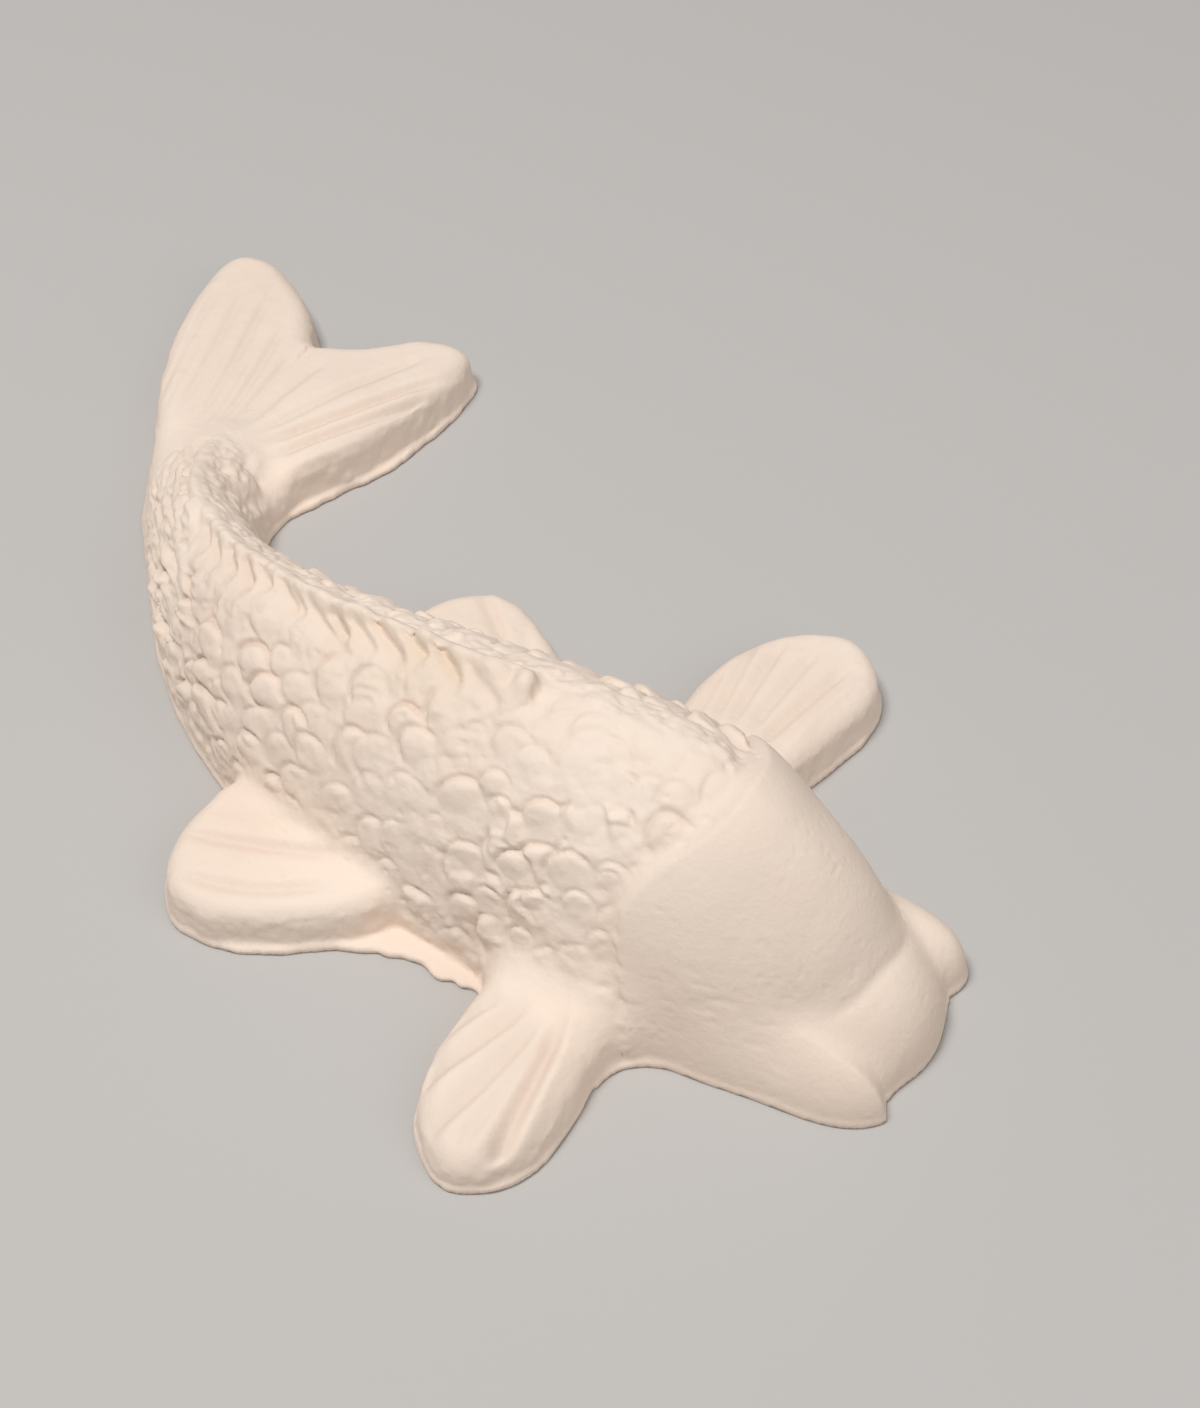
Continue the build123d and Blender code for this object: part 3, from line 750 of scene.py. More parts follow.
for *ends, half_width, lift in CLEAR_SCALES:
    middle, free_end = np.array(ends[:3]), np.array(ends[3:])
    near = np.flatnonzero((np.hypot(ps - middle[0], pl - middle[1]) < CLEAR_REACH) & (pl < 0))
    offset = spine_places[near] - middle
    reach = np.linalg.norm(free_end - middle)
    u = offset @ (free_end - middle) / reach ** 2
    v = np.sqrt(np.maximum((offset ** 2).sum(1) - (u * reach) ** 2, 0)) / half_width
    r = np.hypot(np.maximum(u, 0), v)
    outside = ramp(*CLEAR_RIM_ZONE, r)
    rooted = ramp(*CLEAR_ROOT_ZONE, u)
    shell, edge = shell_shape(u, r, CLEAR_LIFT * lift)
    shells[near] = np.maximum(shells[near] * np.maximum(outside, 1 - rooted), shell * rooted)
    shell_lines[near] = np.maximum(shell_lines[near] * np.maximum(outside, ramp(*CLEAR_LINE_ZONE, u)), edge)

# Relief of the trunk: scales, streaks along the tail stem, lumps and cracks of the worn spot, dents at the tail root
SCALE_HEIGHT, SCALE_FLOOR, SCALE_MEAN, SCALE_LINE_DEPTH = 0.88, 0.14, 0.28, 0.28
STREAK_LENGTH, STREAK_SLANT, STREAK_LEVEL, STREAK_HEIGHT = 3.4, 0.10, 0.45, 0.32
CRACK_DEPTH, CRACK_WIDTH, DENT_DEPTH = 0.20, 0.13, 0.30
girth = at_station(ps, fine_girths)
streaks = lattice_noise(ps / STREAK_LENGTH + STREAK_SLANT * way * girth, way * girth, 0.0, 0.95, 27)
streaks = within(STREAK_LEVEL - np.abs(streaks) * 2, (ps, -44.0, -54.0), (pl, 0.0, -0.8))
dents = within(noise(2.1, 26), (np.hypot(tail_u + 1.0, tail_v + 4.0), 9.0, 2.0))
lumpy = lumps((0.11 + 0.12 * far_crest, 1.5, 24), (0.06 + 0.09 * far_crest, 0.7, 25))
worn = lumps((0.14, 2.4, 28))
worn = worn - CRACK_DEPTH * ramp(CRACK_WIDTH, 0.0, np.abs(noise(3.0, 29)))
lumpy = lumpy + smooth_back * worn
scale_height = SCALE_HEIGHT * (np.maximum(shells, SCALE_FLOOR) - SCALE_MEAN) - SCALE_LINE_DEPTH * shell_lines
relief = scaled * (strength * scale_height + lumpy + STREAK_HEIGHT * streaks) + DENT_DEPTH * dents

# Dorsal fin: slanting folds on its right side, a notch near the front and a lumpy crest, as station and offset
FOLDS = [
    (-15.2, 0.7, -14.6, -0.4, -13.9, -1.9), (-19.8, -0.5, -17.2, -1.8, -15.2, -2.6, -13.2, -3.9),
    (-23.8, 0.2, -21.2, -1.1, -17.8, -3.4), (-26.8, 0.3, -25, -0.7, -22.2, -2),
    (-30.8, 0.2, -28.8, -0.9, -26.1, -2.1, -23.8, -3.3), (-33, -0.4, -30.3, -1.7, -27, -3.1),
    (-35, -0.6, -32.6, -2.1, -30.6, -3), (-39, -0.3, -35.3, -1.9, -32.2, -3, -29.2, -3.8),
    (-41, -0.4, -38.6, -1.5, -36, -2.6), (-43.2, 0.1, -40.5, -1.1, -36.8, -2.8),
    (-46.3, 0.1, -43.9, -0.9, -41.6, -2), (-48.8, -0.2, -46, -1.7, -43.6, -2.7),
    (-51.8, -0.2, -49.4, -1.5, -46.6, -2.7), (-55.4, -0.4, -52.4, -1.8, -50, -2.9),
    (-58.4, -0.2, -55.4, -1.6, -53, -2.7),
]
KNOBS = [
    (-12.9, -0.9), (-16.6, -0.7), (-20.9, -0.5), (-24.9, 0), (-28.5, -0.1), (-31.7, -0.4), (-33.8, -0.6),
    (-37, -0.5), (-40, -0.3), (-42.2, -0.2), (-44.8, -0.2), (-47.4, -0.3), (-50.2, -0.3), (-53.6, -0.3),
    (-57, -0.3),
]
FOLD_DEPTH, FOLD_DEPTH_MORE, FRONT_FOLDS, FRONT_FOLD_SHARE, FOLD_STRENGTH = 0.80, 0.4, 2, 0.55, 1.05
FOLD_WIDE, FOLD_NARROW, FOLD_FADES = (1.10, 0.85), (0.40, 0.34), (0.16, 0.35)
FOLD_WIDE_SHARE, FOLD_NARROW_SHARE = 0.70, 0.30
KNOB_SIZE, KNOB_SIZE_MORE, KNOB_LENGTH, KNOB_WIDTH, KNOB_HEIGHT = 0.8, 0.5, 1.1, 0.9, 0.45
on_back = np.flatnonzero(between(ps, -61.0, -11.0) & between(pl, -6.0, 2.5) & (pz > 8.0))
back_s, back_l = ps[on_back], pl[on_back]
fold_line = np.zeros(len(points))
for i, path in enumerate(FOLDS):
    depth = (FOLD_DEPTH + FOLD_DEPTH_MORE * hash_number(i, 0.0, 6)) * (FRONT_FOLD_SHARE if i < FRONT_FOLDS else 1.0)
    wide = groove_depth(back_s, back_l, path, *FOLD_WIDE, *FOLD_FADES)
    narrow = groove_depth(back_s, back_l, path, *FOLD_NARROW, *FOLD_FADES)
    fold = depth * (FOLD_WIDE_SHARE * wide + FOLD_NARROW_SHARE * narrow)
    fold_line[on_back] = np.maximum(fold_line[on_back], fold)
knobs = np.zeros(len(points))
for i, (knob_s, knob_l) in enumerate(KNOBS):
    size = KNOB_SIZE + KNOB_SIZE_MORE * hash_number(i, 1.0, 7)
    knobs[on_back] += size * hump(back_s, knob_s, KNOB_LENGTH * size, back_l, knob_l, KNOB_WIDTH)
relief = relief - FOLD_STRENGTH * fold_line + KNOB_HEIGHT * dorsal_cover * knobs
on_fin = within(dorsal_cover, (pl, -6.0, -4.5), (pl, 2.2, 1.2))
relief = relief + on_fin * lumps((0.14, 1.5, 37), (0.07, 0.7, 38))

# Low on the flank between the fins the cast is rough and crumbly
CRUMB_HEIGHT, CRUMB_LEVEL = 0.24, 0.15
rough = within(1.0, (pz, 9.0, 5.0), (pz, 0.3, 1.6), (fin_clear, 0.3, 1.5), (gill_ahead, 3.0, -1.0))
crumbs = np.maximum(noise(0.8, 34) - CRUMB_LEVEL, 0)
relief = relief + rough * (lumps((0.18, 1.6, 35)) + CRUMB_HEIGHT * crumbs)

# Mouth crease between head and snout, as station and offset
MOUTH = (21.6, 6.6, 22.6, 3.6, 22.8, 1.1, 22.5, -2.8, 21.8, -4.9, 20.3, -7.6)
MOUTH_WIDTH, MOUTH_DEPTH = 0.5, 0.20
crease = np.zeros(len(points))
at_mouth = np.flatnonzero(between(ps, 17.0, 26.0) & (pz > 3.0))
crease[at_mouth] = groove_depth(ps[at_mouth], pl[at_mouth], MOUTH, MOUTH_WIDTH, MOUTH_WIDTH)
relief = relief - MOUTH_DEPTH * crease

# Rays: grooves on fins and tail as depth, width on either side of the line, and plan points from root to tip
RAYS = {
    "right_pectoral_fin": [
        (0.46, 1.2, 0.5, -5.2, -17.2, -9.2, -24.2), (0.76, 1.7, 0.55, -2.8, -16.6, -4.9, -22.8, -8.2, -30.5),
        (0.72, 1.7, 0.55, -1.3, -17.6, -2.4, -26, -4.4, -33.8), (0.36, 1, 0.6, -0.5, -19, -0.7, -27, -0.9, -33.6),
        (1.05, 0.8, 0.9, 0.4, -16.8, 1.2, -25.5, 2.2, -34), (-0.32, 0.7, 0.7, 0.6, -13.6, 2, -22, 3.6, -31),
    ],
    "left_pectoral_fin": [
        (0.29, 0.4, 0.8, -6.5, 19, -7.4, 27), (0.39, 0.35, 0.8, -4.7, 19, -5.5, 25.5, -6.5, 33),
        (0.45, 0.35, 0.9, -3.1, 19.5, -3.5, 26, -3.9, 34), (0.43, 0.4, 0.9, -1.2, 19.5, -0.9, 26.5, -0.4, 34.5),
        (0.56, 0.5, 0.9, 0.2, 18.5, 1.6, 26, 3.4, 34), (-0.26, 0.6, 0.6, 2.4, 19.5, 3.6, 26.5, 4.8, 33),
    ],
    "right_pelvic_fin": [
        (0.55, 0.45, 0.9, -25, -10.8, -33.9, -13.8, -42, -15.9), (0.5, 0.45, 0.9, -24.5, -14.2, -31.4, -18.2, -39, -20),
        (0.15, 0.5, 0.9, -28, -9, -36, -11.2, -41.5, -12.4),
    ],
    "left_pelvic_fin": [
        (0.48, 0.5, 0.9, -27, 19, -30.4, 22.2, -33.6, 25.2), (0.21, 0.5, 0.8, -23.6, 18, -26, 21, -27.8, 24.2),
    ],
    "tail": [
        (0.1, 0.5, 0.5, -79.2, 34, -81.6, 41, -83.6, 46.5), (0.28, 0.6, 0.4, -77.6, 31, -80.6, 41, -84.6, 53.6),
        (0.16, 0.4, 0.4, -76.2, 30.6, -78.4, 38, -80.6, 45), (0.3, 0.6, 0.45, -74.4, 30.4, -77.4, 41.5, -82, 55.6),
        (0.2, 0.4, 0.35, -73, 30.6, -74.9, 37.6, -76.8, 44), (0.36, 0.6, 0.45, -71.6, 29.4, -74.6, 42, -79.4, 57),
        (0.26, 0.4, 0.4, -70.3, 29.8, -72, 37, -73.8, 43.8), (0.36, 0.55, 0.45, -69, 28.8, -71.2, 41, -74, 51.4),
        (0.3, 0.5, 0.45, -68.1, 29.6, -68.9, 37.8, -69.8, 46.6), (0.4, 0.6, 0.8, -67.4, 31, -66.9, 38.3, -65.8, 47.4),
        (0.5, 0.7, 0.6, -65.8, 31.6, -60.9, 44.5, -56.4, 55), (0.8, 0.7, 0.5, -64.6, 30.8, -58.8, 41, -53, 52.4),
        (0.8, 0.7, 0.5, -62.8, 29.8, -57.2, 39.2, -52.6, 48.8), (-0.34, 0.8, 0.5, -61, 28.2, -55.9, 36.5, -51.9, 48.8),
    ],
}
rays = np.zeros(len(points))
for name, grooves in RAYS.items():
    ray_near = tail_near if name == "tail" else fin_near[name]
    on_top = within(1.0, (ray_near, 0.8, 0.1), (normals[:, 2], 0.35, 0.75), (ray_near - body_near, 1.6, -0.4))
    near = np.flatnonzero(on_top > 0)
    for depth, rear_width, front_width, *path in grooves:
        rays[near] -= depth * on_top[near] * groove_depth(px[near], py[near], path, rear_width, front_width)

# Hand-worked unevenness of the whole surface, calmer on the head, with pores, rough fin walls and a scratched cheek
PORE_DEPTH, PORE_LEAST, WALL_PORE_DEPTH = 0.10, 0.25, 0.05
SCRATCH_DEPTH, SCRATCH_STRETCH = 0.05, 5.0
OFF_TABLE_ZONE, LEAST_LEVEL = (0.3, 1.6), 0.02
calm = zoned(1.0, (-0.75, (gill_ahead, -0.5, 2.0)))
uneven = lumps((0.10, 7.0, 41)) + calm * lumps((0.05, 2.4, 42), (0.025, 0.9, 43))
pores = within(1.0, (noise(0.70, 44), 0.56, 0.76), (noise(5.0, 45), 0.0, 0.4),
               (np.minimum(tail_near, fin_near["right_pectoral_fin"] - 1.0), 0.3, 1.5))
fin_wall = within(1.0, (normals[:, 2], 0.60, 0.25), (fin_clear, 0.6, -0.2))
cheek = within(1.0, (ps, 4.0, 8.0), (ps, 21.0, 16.0), (pz, 14.0, 9.0), (pz, 2.0, 4.0), (pl, -4.0, -8.0))
scratches = within(cheek, (lattice_noise(ps / SCRATCH_STRETCH, pl, pz, 0.55, 46), 0.25, 0.6))
pore_depth = PORE_DEPTH * (PORE_LEAST + calm) / (PORE_LEAST + 1) + WALL_PORE_DEPTH * fin_wall
uneven = uneven - pore_depth * pores - SCRATCH_DEPTH * scratches + fin_wall * lumps((0.09, 1.3, 47), (0.04, 0.6, 48))
off_table = ramp(*OFF_TABLE_ZONE, pz)
moved = points + normals * ((relief + uneven) * off_table)[:, None]
moved[:, 2] += rays * off_table
moved[:, 2] = np.where(pz <= 0, 0.0, np.maximum(moved[:, 2], LEAST_LEVEL))
moved = np.clip(moved, np.array(cad_low) / METRE, np.array(cad_high) / METRE)
normals = vertex_normals(moved, quads)

# Painted shade: the lines round the scales, the dorsal folds and the ray grooves are darkened in colour where shade
# falls, and the dorsal fin is stained: kept as values on each vertex
SCALE_LINE_SHADE, FOLD_GROOVE_SHADE = 0.9, 0.4
STAIN_FLAT, STAIN_FOLDS, STAIN_LEAST, STAIN_MORE = 0.75, 0.25, 0.3, 0.7
painted_groove_shade = np.clip(scaled * strength * shell_lines * SCALE_LINE_SHADE + fold_line * FOLD_GROOVE_SHADE - rays, 0, 1)
stain = within(dorsal_cover, (pl, -6.0, -3.0), (pl, 0.5, -1.0), (ps, -14.0, -22.0), (ps, -46.0, -36.0))
stain = stain * (STAIN_FLAT + STAIN_FOLDS * np.minimum(fold_line, 1))
stain = stain * (STAIN_LEAST + STAIN_MORE * ramp(-0.6, 0.6, noise(4.0, 36)))

# The surface in triangles, cut into the pieces of the part. A piece is what lies below zero in its own measure, and is
# taken out of the trunk, or in one case out of another piece.
DORSAL_CUT_RIGHT, DORSAL_CUT_LEFT, DORSAL_CUT_FRONT, DORSAL_CUT_BACK, DORSAL_CUT_LEVEL = 0.3, 0.1, 0.6, 1.2, 6.0
GILL_CUT_GAP, GILL_CUT_FALL, GILL_CUT_FALL_FROM = 0.4, 2, 1.0
TAIL_CUT, SNOUT_CUT = -83.0, 23.8
corners = points[quads]
one_way, other_way = (np.linalg.norm(corners[:, k] - corners[:, k + 2], axis=1) for k in (0, 1))
short_way = one_way <= other_way
triangles = np.vstack([
    quads[short_way][:, [0, 1, 2]], quads[short_way][:, [0, 2, 3]],
    quads[~short_way][:, [0, 1, 3]], quads[~short_way][:, [1, 2, 3]],
])
dorsal_near = np.maximum.reduce([
    -DORSAL_RIGHT_REACH + DORSAL_CUT_RIGHT - pl, pl - DORSAL_LEFT_REACH + DORSAL_CUT_LEFT,
    dorsal_ahead(ps, pl) - DORSAL_CUT_FRONT, DORSAL_BACK + DORSAL_CUT_BACK - ps, DORSAL_CUT_LEVEL - pz,
])
mouth_near = np.minimum.reduce([body_near, snout_near, jaw_near["left_jaw"]])
behind_gill = bevel_ahead + GILL_CUT_GAP - GILL_CUT_FALL * np.maximum(body_near - GILL_CUT_FALL_FROM, 0)
CUTS = {name: fin_near[name] - body_near for name in FINS}
CUTS["right_pectoral_fin"] = np.maximum(CUTS["right_pectoral_fin"], behind_gill)
CUTS.update({
    "right_tail_lobe": np.minimum(tail_clear, ps - TAIL_CUT),
    "left_tail_lobe": tail_v,
    "left_barbel": np.maximum(jaw_near["left_barbel"] - mouth_near, BARBELS_FROM - ps),
    "right_barbel": np.maximum(jaw_near["right_barbel"] - mouth_near, BARBELS_FROM - ps),
    "snout": np.minimum(snout_near - body_near, SNOUT_CUT - ps),
    "head": -bevel_ahead,
    "tail_stem": ps + TRUNK_LENGTH,
    "dorsal_fin": dorsal_near,
})
TAKEN_FROM = {"left_tail_lobe": "right_tail_lobe"}
NODES = ["trunk", *CUTS]
TRUNK, DORSAL = NODES.index("trunk"), NODES.index("dorsal_fin")
CUT_SHARES = (0.06, 0.94)

# Columns of the vertex values: place, normal, painted groove shade, stain, station and the measures of the cuts
PLACE, NORMAL, GROOVE_SHADE_COLUMN, STAIN, STATION, FIRST_CUT = slice(0, 3), slice(3, 6), 6, 7, 8, 9
values = np.column_stack([moved, normals, painted_groove_shade, stain, ps, *CUTS.values()])
labels = np.full(len(triangles), TRUNK)


def cut_along(values, triangles, labels, column):
    """Split the triangles along the line where a column of vertex values is zero."""
    measure = values[:, column]
    above = (measure > 0)[triangles]
    count = above.sum(1)
    mixed = (count == 1) | (count == 2)
    picked = triangles[mixed]
    lone = np.where(count[mixed] == 1, above[mixed].argmax(1), (~above[mixed]).argmax(1))
    a, b, c = (picked[np.arange(len(picked)), (lone + k) % 3] for k in range(3))
    ends = np.sort(np.vstack([np.column_stack([a, b]), np.column_stack([a, c])]), axis=1)
    edges, places = np.unique(ends, axis=0, return_inverse=True)
    places = places.ravel()
    first, second = measure[edges[:, 0]], measure[edges[:, 1]]
    t = np.clip(first / (first - second), *CUT_SHARES)[:, None]
    added = values[edges[:, 0]] * (1 - t) + values[edges[:, 1]] * t
    added[:, column] = 0.0
    ab = len(values) + places[:len(a)]
    ac = len(values) + places[len(a):]
    split = np.vstack([np.column_stack([a, ab, ac]), np.column_stack([ab, b, c]), np.column_stack([ab, c, ac])])
    return (np.vstack([values, added]), np.vstack([triangles[~mixed], split]),
            np.concatenate([labels[~mixed], np.tile(labels[mixed], 3)]))


for cut_column, name in enumerate(CUTS, FIRST_CUT):
    values, triangles, labels = cut_along(values, triangles, labels, cut_column)
    inside = values[triangles][:, :, cut_column].mean(1) < 0
    among = labels == NODES.index(TAKEN_FROM.get(name, "trunk"))
    labels[inside & among] = NODES.index(name)


def edges_of(faces):
    """Edges of triangles, in the direction of their faces."""
    return np.vstack([faces[:, [0, 1]], faces[:, [1, 2]], faces[:, [2, 0]]])


# Borders between the pieces, and the vertices where three or more pieces meet
edge_labels = np.tile(labels, 3)
edge_keys = np.sort(edges_of(triangles), axis=1)
order = np.lexsort((edge_keys[:, 1], edge_keys[:, 0]))
first, second = order[0::2], order[1::2]
border = edge_labels[first] != edge_labels[second]
borders, corner_labels, meeting = {}, {}, {}
for i, j in zip(first[border], second[border]):
    pair = tuple(sorted((int(edge_labels[i]), int(edge_labels[j]))))
    ends = (int(edge_keys[i, 0]), int(edge_keys[i, 1]))
    borders.setdefault(pair, []).append(ends)
    for end in ends:
        corner_labels.setdefault(end, set()).update(pair)
for vertex, around in corner_labels.items():
    if len(around) > 2:
        meeting.setdefault(tuple(sorted(around)), []).append(vertex)


def border_loops(pair, edges):
    """Closed loops of the border between two pieces, joined where it ends at a third piece."""
    links = {}
    for a, b in edges:
        links.setdefault(a, []).append(b)
        links.setdefault(b, []).append(a)
    for around, vertices in meeting.items():
        if set(pair) <= set(around):
            ends = [v for v in vertices if len(links.get(v, [])) == 1]
            while len(ends) >= 2:
                a = ends.pop()
                b = min(ends, key=lambda v: np.linalg.norm(values[v, :2] - values[a, :2]))
                ends.remove(b)
                links[a].append(b)
                links[b].append(a)
    loops = []
    unused = set(links)
    while unused:
        start = unused.pop()
        loop, previous, current = [start], None, start
        while True:
            forward = [v for v in links[current] if v != previous and (v in unused or (v == start and len(loop) > 2))]
            if not forward or forward[0] == start:
                break
            previous, current = current, forward[0]
            unused.discard(current)
            loop.append(current)
        if len(loop) > 2:
            loops.append(loop)
    return loops


def zipped(one, other, one_way, other_way):
    """Triangles between two lines of vertices, in step with the way along each."""
    faces, i, j = [], 0, 0
    while i < len(one) - 1 or j < len(other) - 1:
        if j == len(other) - 1 or (i < len(one) - 1 and one_way[i + 1] <= other_way[j + 1]):
            faces.append((one[i], one[i + 1], other[j]))
            i += 1
        else:
            faces.append((one[i], other[j + 1], other[j]))
            j += 1
    return faces


def strip_across(loop, stations):
    """Triangles across a long loop from side to side, from its back end to its front end."""
    count = len(loop)
    back, front = int(np.argmin(stations)), int(np.argmax(stations))
    one = [(back + k) % count for k in range((front - back) % count + 1)]
    other = [(back - k) % count for k in range((back - front) % count + 1)]
    faces = zipped(one, other, stations[one], stations[other])
    return [tuple(loop[k] for k in face) for face in faces if len(set(face)) == 3]


def sunk_wall(loop, inset=0.6, depth=1.0):
    """Wall that goes down steeply inside a loop and runs straight across below it, and its added vertices."""
    places = values[loop, PLACE]
    along = np.roll(places, -1, axis=0) - np.roll(places, 1, axis=0)
    area = (places[:, 0] * np.roll(places[:, 1], -1) - np.roll(places[:, 0], -1) * places[:, 1]).sum()
    added = values[loop]
    added[:, :2] += inset * unit_rows(np.column_stack([-along[:, 1], along[:, 0]]) * np.sign(area))
    added[:, 2] -= depth
    inner = list(range(len(values), len(values) + len(loop)))
    faces = strip_across(inner, added[:, STATION])
    for k in range(len(loop)):
        a, b, c, d = loop[k], loop[(k + 1) % len(loop)], inner[(k + 1) % len(loop)], inner[k]
        faces += [(a, b, c), (a, c, d)]
    return faces, added


def ruled_wall(loop):
    """Wall between the upper line of a loop and its line on the table, or plain where it has no two such lines."""
    low = values[loop, 2] < ON_TABLE
    starts = [k for k in range(len(loop)) if low[k] and not low[k - 1]]
    if len(starts) != 1:
        faces = tessellate_polygon([[Vector(values[v, PLACE]) for v in loop]])
        return [[loop[k] for k in face] for face in faces]
    ring = loop[starts[0]:] + loop[:starts[0]]
    base, upper = ring[:int(low.sum())], ring[int(low.sum()):][::-1]
    ways = []
    for chain in (base, upper):
        steps = np.linalg.norm(np.diff(values[chain, :2], axis=0), axis=1)
        way = np.concatenate([[0.0], np.cumsum(steps)])
        ways.append(way / max(way[-1], TINY))
    return zipped(base, upper, *ways)


# Walls between the pieces: one surface for each pair of neighbours, shared by both
walls = {}
for pair, edges in borders.items():
    for loop in border_loops(pair, edges):
        if pair == (TRUNK, DORSAL):
            faces, added = sunk_wall(loop)
            values = np.vstack([values, added])
        else:
            faces = ruled_wall(loop)
        walls.setdefault(pair, []).append(np.array(faces, int))

material = bpy.data.materials.new("plaster")
material.use_nodes = True


def make_piece(name, index):
    """One closed mesh, with the normals of the whole surface so that no seam shows."""
    outer = triangles[labels == index]
    faces = [outer]
    directed = set(map(tuple, edges_of(outer).tolist()))
    for pair, parts in walls.items():
        if index not in pair:
            continue
        for part in parts:
            ends = edges_of(part).tolist()
            same = sum((a, b) in directed for a, b in ends)
            against = sum((b, a) in directed for a, b in ends)
            faces.append(part[:, ::-1] if same > against else part)
    all_faces = np.vstack(faces)
    used, renumbered = np.unique(all_faces, return_inverse=True)
    renumbered = renumbered.reshape(all_faces.shape)
    mesh = bpy.data.meshes.new(name)
    mesh.vertices.add(len(used))
    mesh.vertices.foreach_set("co", (values[used, PLACE] * METRE).ravel())
    mesh.loops.add(renumbered.size)
    mesh.loops.foreach_set("vertex_index", renumbered.ravel())
    mesh.polygons.add(len(renumbered))
    mesh.polygons.foreach_set("loop_start", np.arange(len(renumbered)) * 3)
    mesh.update(calc_edges=True)
    mesh.polygons.foreach_set("use_smooth", np.ones(len(renumbered), bool))
    corners = values[all_faces][:, :, PLACE]
    flat = unit_rows(np.cross(corners[:, 1] - corners[:, 0], corners[:, 2] - corners[:, 0]), TINY_AREA)
    shown = unit_rows(values[all_faces][:, :, NORMAL])
    hard = corners[:, :, 2].max(1) < ON_TABLE
    hard[len(outer):] = True
    shown[hard] = flat[hard][:, None, :]
    mesh.normals_split_custom_set(shown.reshape(-1, 3).tolist())
    # The painted groove shade and the stain go on each vertex for the material
    for layer, layer_column in (("painted_groove_shade", GROOVE_SHADE_COLUMN), ("stain", STAIN)):
        attribute = mesh.attributes.new(layer, "FLOAT", "POINT")
        attribute.data.foreach_set("value", values[used, layer_column].astype(np.float32))
    piece = bpy.data.objects.new("cast_" + name, mesh)
    bpy.context.scene.collection.objects.link(piece)
    mesh.materials.append(material)
    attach(piece, "root")
    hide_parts(name)


for index, name in enumerate(NODES):
    make_piece(name, index)

# Plaster: chalky, a little warm, with fine grain, scattered pores and painted shade in its grooves. Noise scales are in
# cells for each metre.
PALE, CLOUDED, SPECKLED = (0.885, 0.742, 0.628, 1), (0.845, 0.692, 0.575, 1), (0.76, 0.63, 0.53, 1)
# Colour of the painted shade in grooves, and of the stain on the dorsal fin
GROOVE_SHADE_COLOUR, STAINED = (0.64, 0.52, 0.43, 1), (0.74, 0.59, 0.43, 1)
CLOUD_SCALE, SPECKLE_SCALE, GLOSS_SCALE, GRAIN_SCALE = 55.0, 900.0, 240.0, 1500.0
MIX_FIRST, MIX_SECOND, MIX_RESULT = 6, 7, 2
nodes, links = material.node_tree.nodes, material.node_tree.links
shader = nodes["Principled BSDF"]
shader.inputs["Specular IOR Level"].default_value = 0.25
place = nodes.new("ShaderNodeTexCoord").outputs["Object"]


def fill_inputs(node, inputs):
    """Put numbers, colours or links at the inputs of a node."""
    for socket, value in inputs.items():
        if isinstance(value, bpy.types.NodeSocket):
            links.new(value, node.inputs[socket])
        else:
            node.inputs[socket].default_value = value


def noise_node(scale, detail, roughness=0.5):
    """Noise in the object's own space."""
    node = nodes.new("ShaderNodeTexNoise")
    fill_inputs(node, {"Scale": scale, "Detail": detail, "Roughness": roughness, "Vector": place})
    return node.outputs["Fac"]


def range_node(value, low, high, to_low, to_high):
    """Value brought from one range to another."""
    node = nodes.new("ShaderNodeMapRange")
    fill_inputs(node, {"Value": value, "From Min": low, "From Max": high, "To Min": to_low, "To Max": to_high})
    return node.outputs["Result"]


def mix_node(factor, first, second):
    """Mix of two colours."""
    node = nodes.new("ShaderNodeMix")
    node.data_type = "RGBA"
    fill_inputs(node, {"Factor": factor, MIX_FIRST: first, MIX_SECOND: second})
    return node.outputs[MIX_RESULT]


def attribute_node(name):
    """Value kept on each vertex."""
    node = nodes.new("ShaderNodeAttribute")
    node.attribute_name = name
    return node.outputs["Fac"]


colour = mix_node(range_node(noise_node(CLOUD_SCALE, 4.0), 0.35, 0.68, 0.0, 1.0), PALE, CLOUDED)
colour = mix_node(range_node(noise_node(SPECKLE_SCALE, 2.0), 0.62, 0.80, 0.0, 0.35), colour, SPECKLED)
# Painted shade: grooves darkened by the shade values kept on each vertex
colour = mix_node(range_node(attribute_node("painted_groove_shade"), 0.0, 1.0, 0.0, 0.45), colour, GROOVE_SHADE_COLOUR)
colour = mix_node(range_node(attribute_node("stain"), 0.0, 1.0, 0.0, 0.42), colour, STAINED)
grain = nodes.new("ShaderNodeBump")
fill_inputs(grain, {"Strength": 0.35, "Distance": 0.0002, "Height": noise_node(GRAIN_SCALE, 4.0, 0.6)})
gloss = range_node(noise_node(GLOSS_SCALE, 3.0), 0.3, 0.7, 0.72, 0.92)
fill_inputs(shader, {"Base Color": colour, "Roughness": gloss, "Normal": grain.outputs["Normal"]})

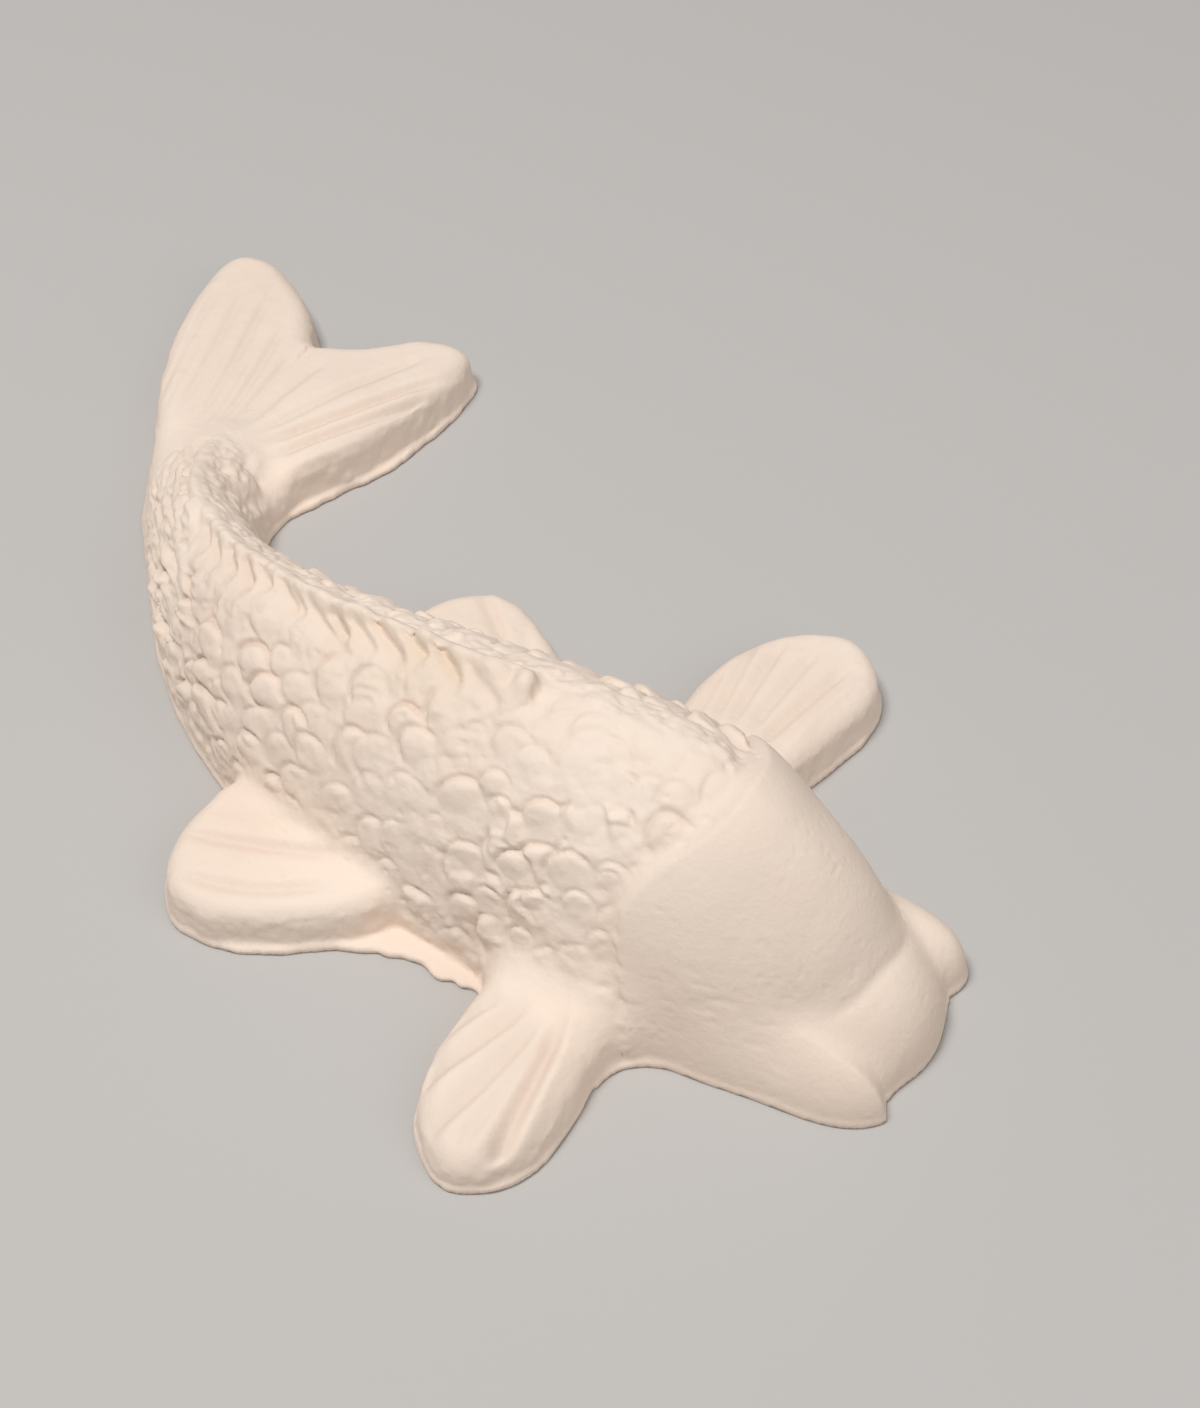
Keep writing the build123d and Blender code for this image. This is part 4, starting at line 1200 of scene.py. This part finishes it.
# Plain pale floor, in metres
FLOOR_HALF = 2
floor_mesh = bpy.data.meshes.new("floor")
floor_corners = [(x * FLOOR_HALF, y * FLOOR_HALF, 0) for x, y in ((-1, -1), (1, -1), (1, 1), (-1, 1))]
floor_mesh.from_pydata(floor_corners, [], [(0, 1, 2, 3)])
floor = bpy.data.objects.new("floor", floor_mesh)
bpy.context.scene.collection.objects.link(floor)
floor_material = bpy.data.materials.new("floor")
floor_material.use_nodes = True
floor_shader = floor_material.node_tree.nodes["Principled BSDF"]
floor_shader.inputs["Base Color"].default_value = (0.52, 0.50, 0.48, 1)
floor_shader.inputs["Roughness"].default_value = 0.8
floor_mesh.materials.append(floor_material)

# Camera at the photograph's angle and soft light from the left. Lamps are given in metres from the target: to the right
# in the picture, away from the camera and up, then their size and power.
target = Vector((-17.72, 20.94, -0.34)) * METRE
eye = Vector((68.44, -131.81, 181.26)) * METRE
plan_right, plan_away = Vector((0.871, 0.491, 0)), Vector((-0.491, 0.871, 0))
LAMPS = {"key": (-0.224, -0.08, 0.764, 0.26, 4.25), "fill": (0.48, -0.40, 0.50, 0.60, 1.25)}


def aimed_object(name, data, place):
    """Camera or lamp at a place, turned to the target."""
    item = bpy.data.objects.new(name, data)
    item.location = place
    item.rotation_euler = (target - place).to_track_quat("-Z", "Y").to_euler()
    bpy.context.scene.collection.objects.link(item)
    return item


camera_data = bpy.data.cameras.new("camera")
camera_data.lens = 66.48
camera_data.sensor_width = 36.0
camera_data.clip_start = 0.01
bpy.context.scene.camera = aimed_object("camera", camera_data, eye)
for name, (right, away, up, size, power) in LAMPS.items():
    lamp = bpy.data.lights.new(name, "AREA")
    lamp.size = size
    lamp.energy = power
    aimed_object(name, lamp, target + plan_right * right + plan_away * away + Vector((0, 0, up)))
world = bpy.data.worlds.new("world")
bpy.context.scene.world = world
world.use_nodes = True
world.node_tree.nodes["Background"].inputs["Color"].default_value = (1.0, 1.0, 1.0, 1)
world.node_tree.nodes["Background"].inputs["Strength"].default_value = 0.30
bpy.context.scene.view_settings.view_transform = "Standard"
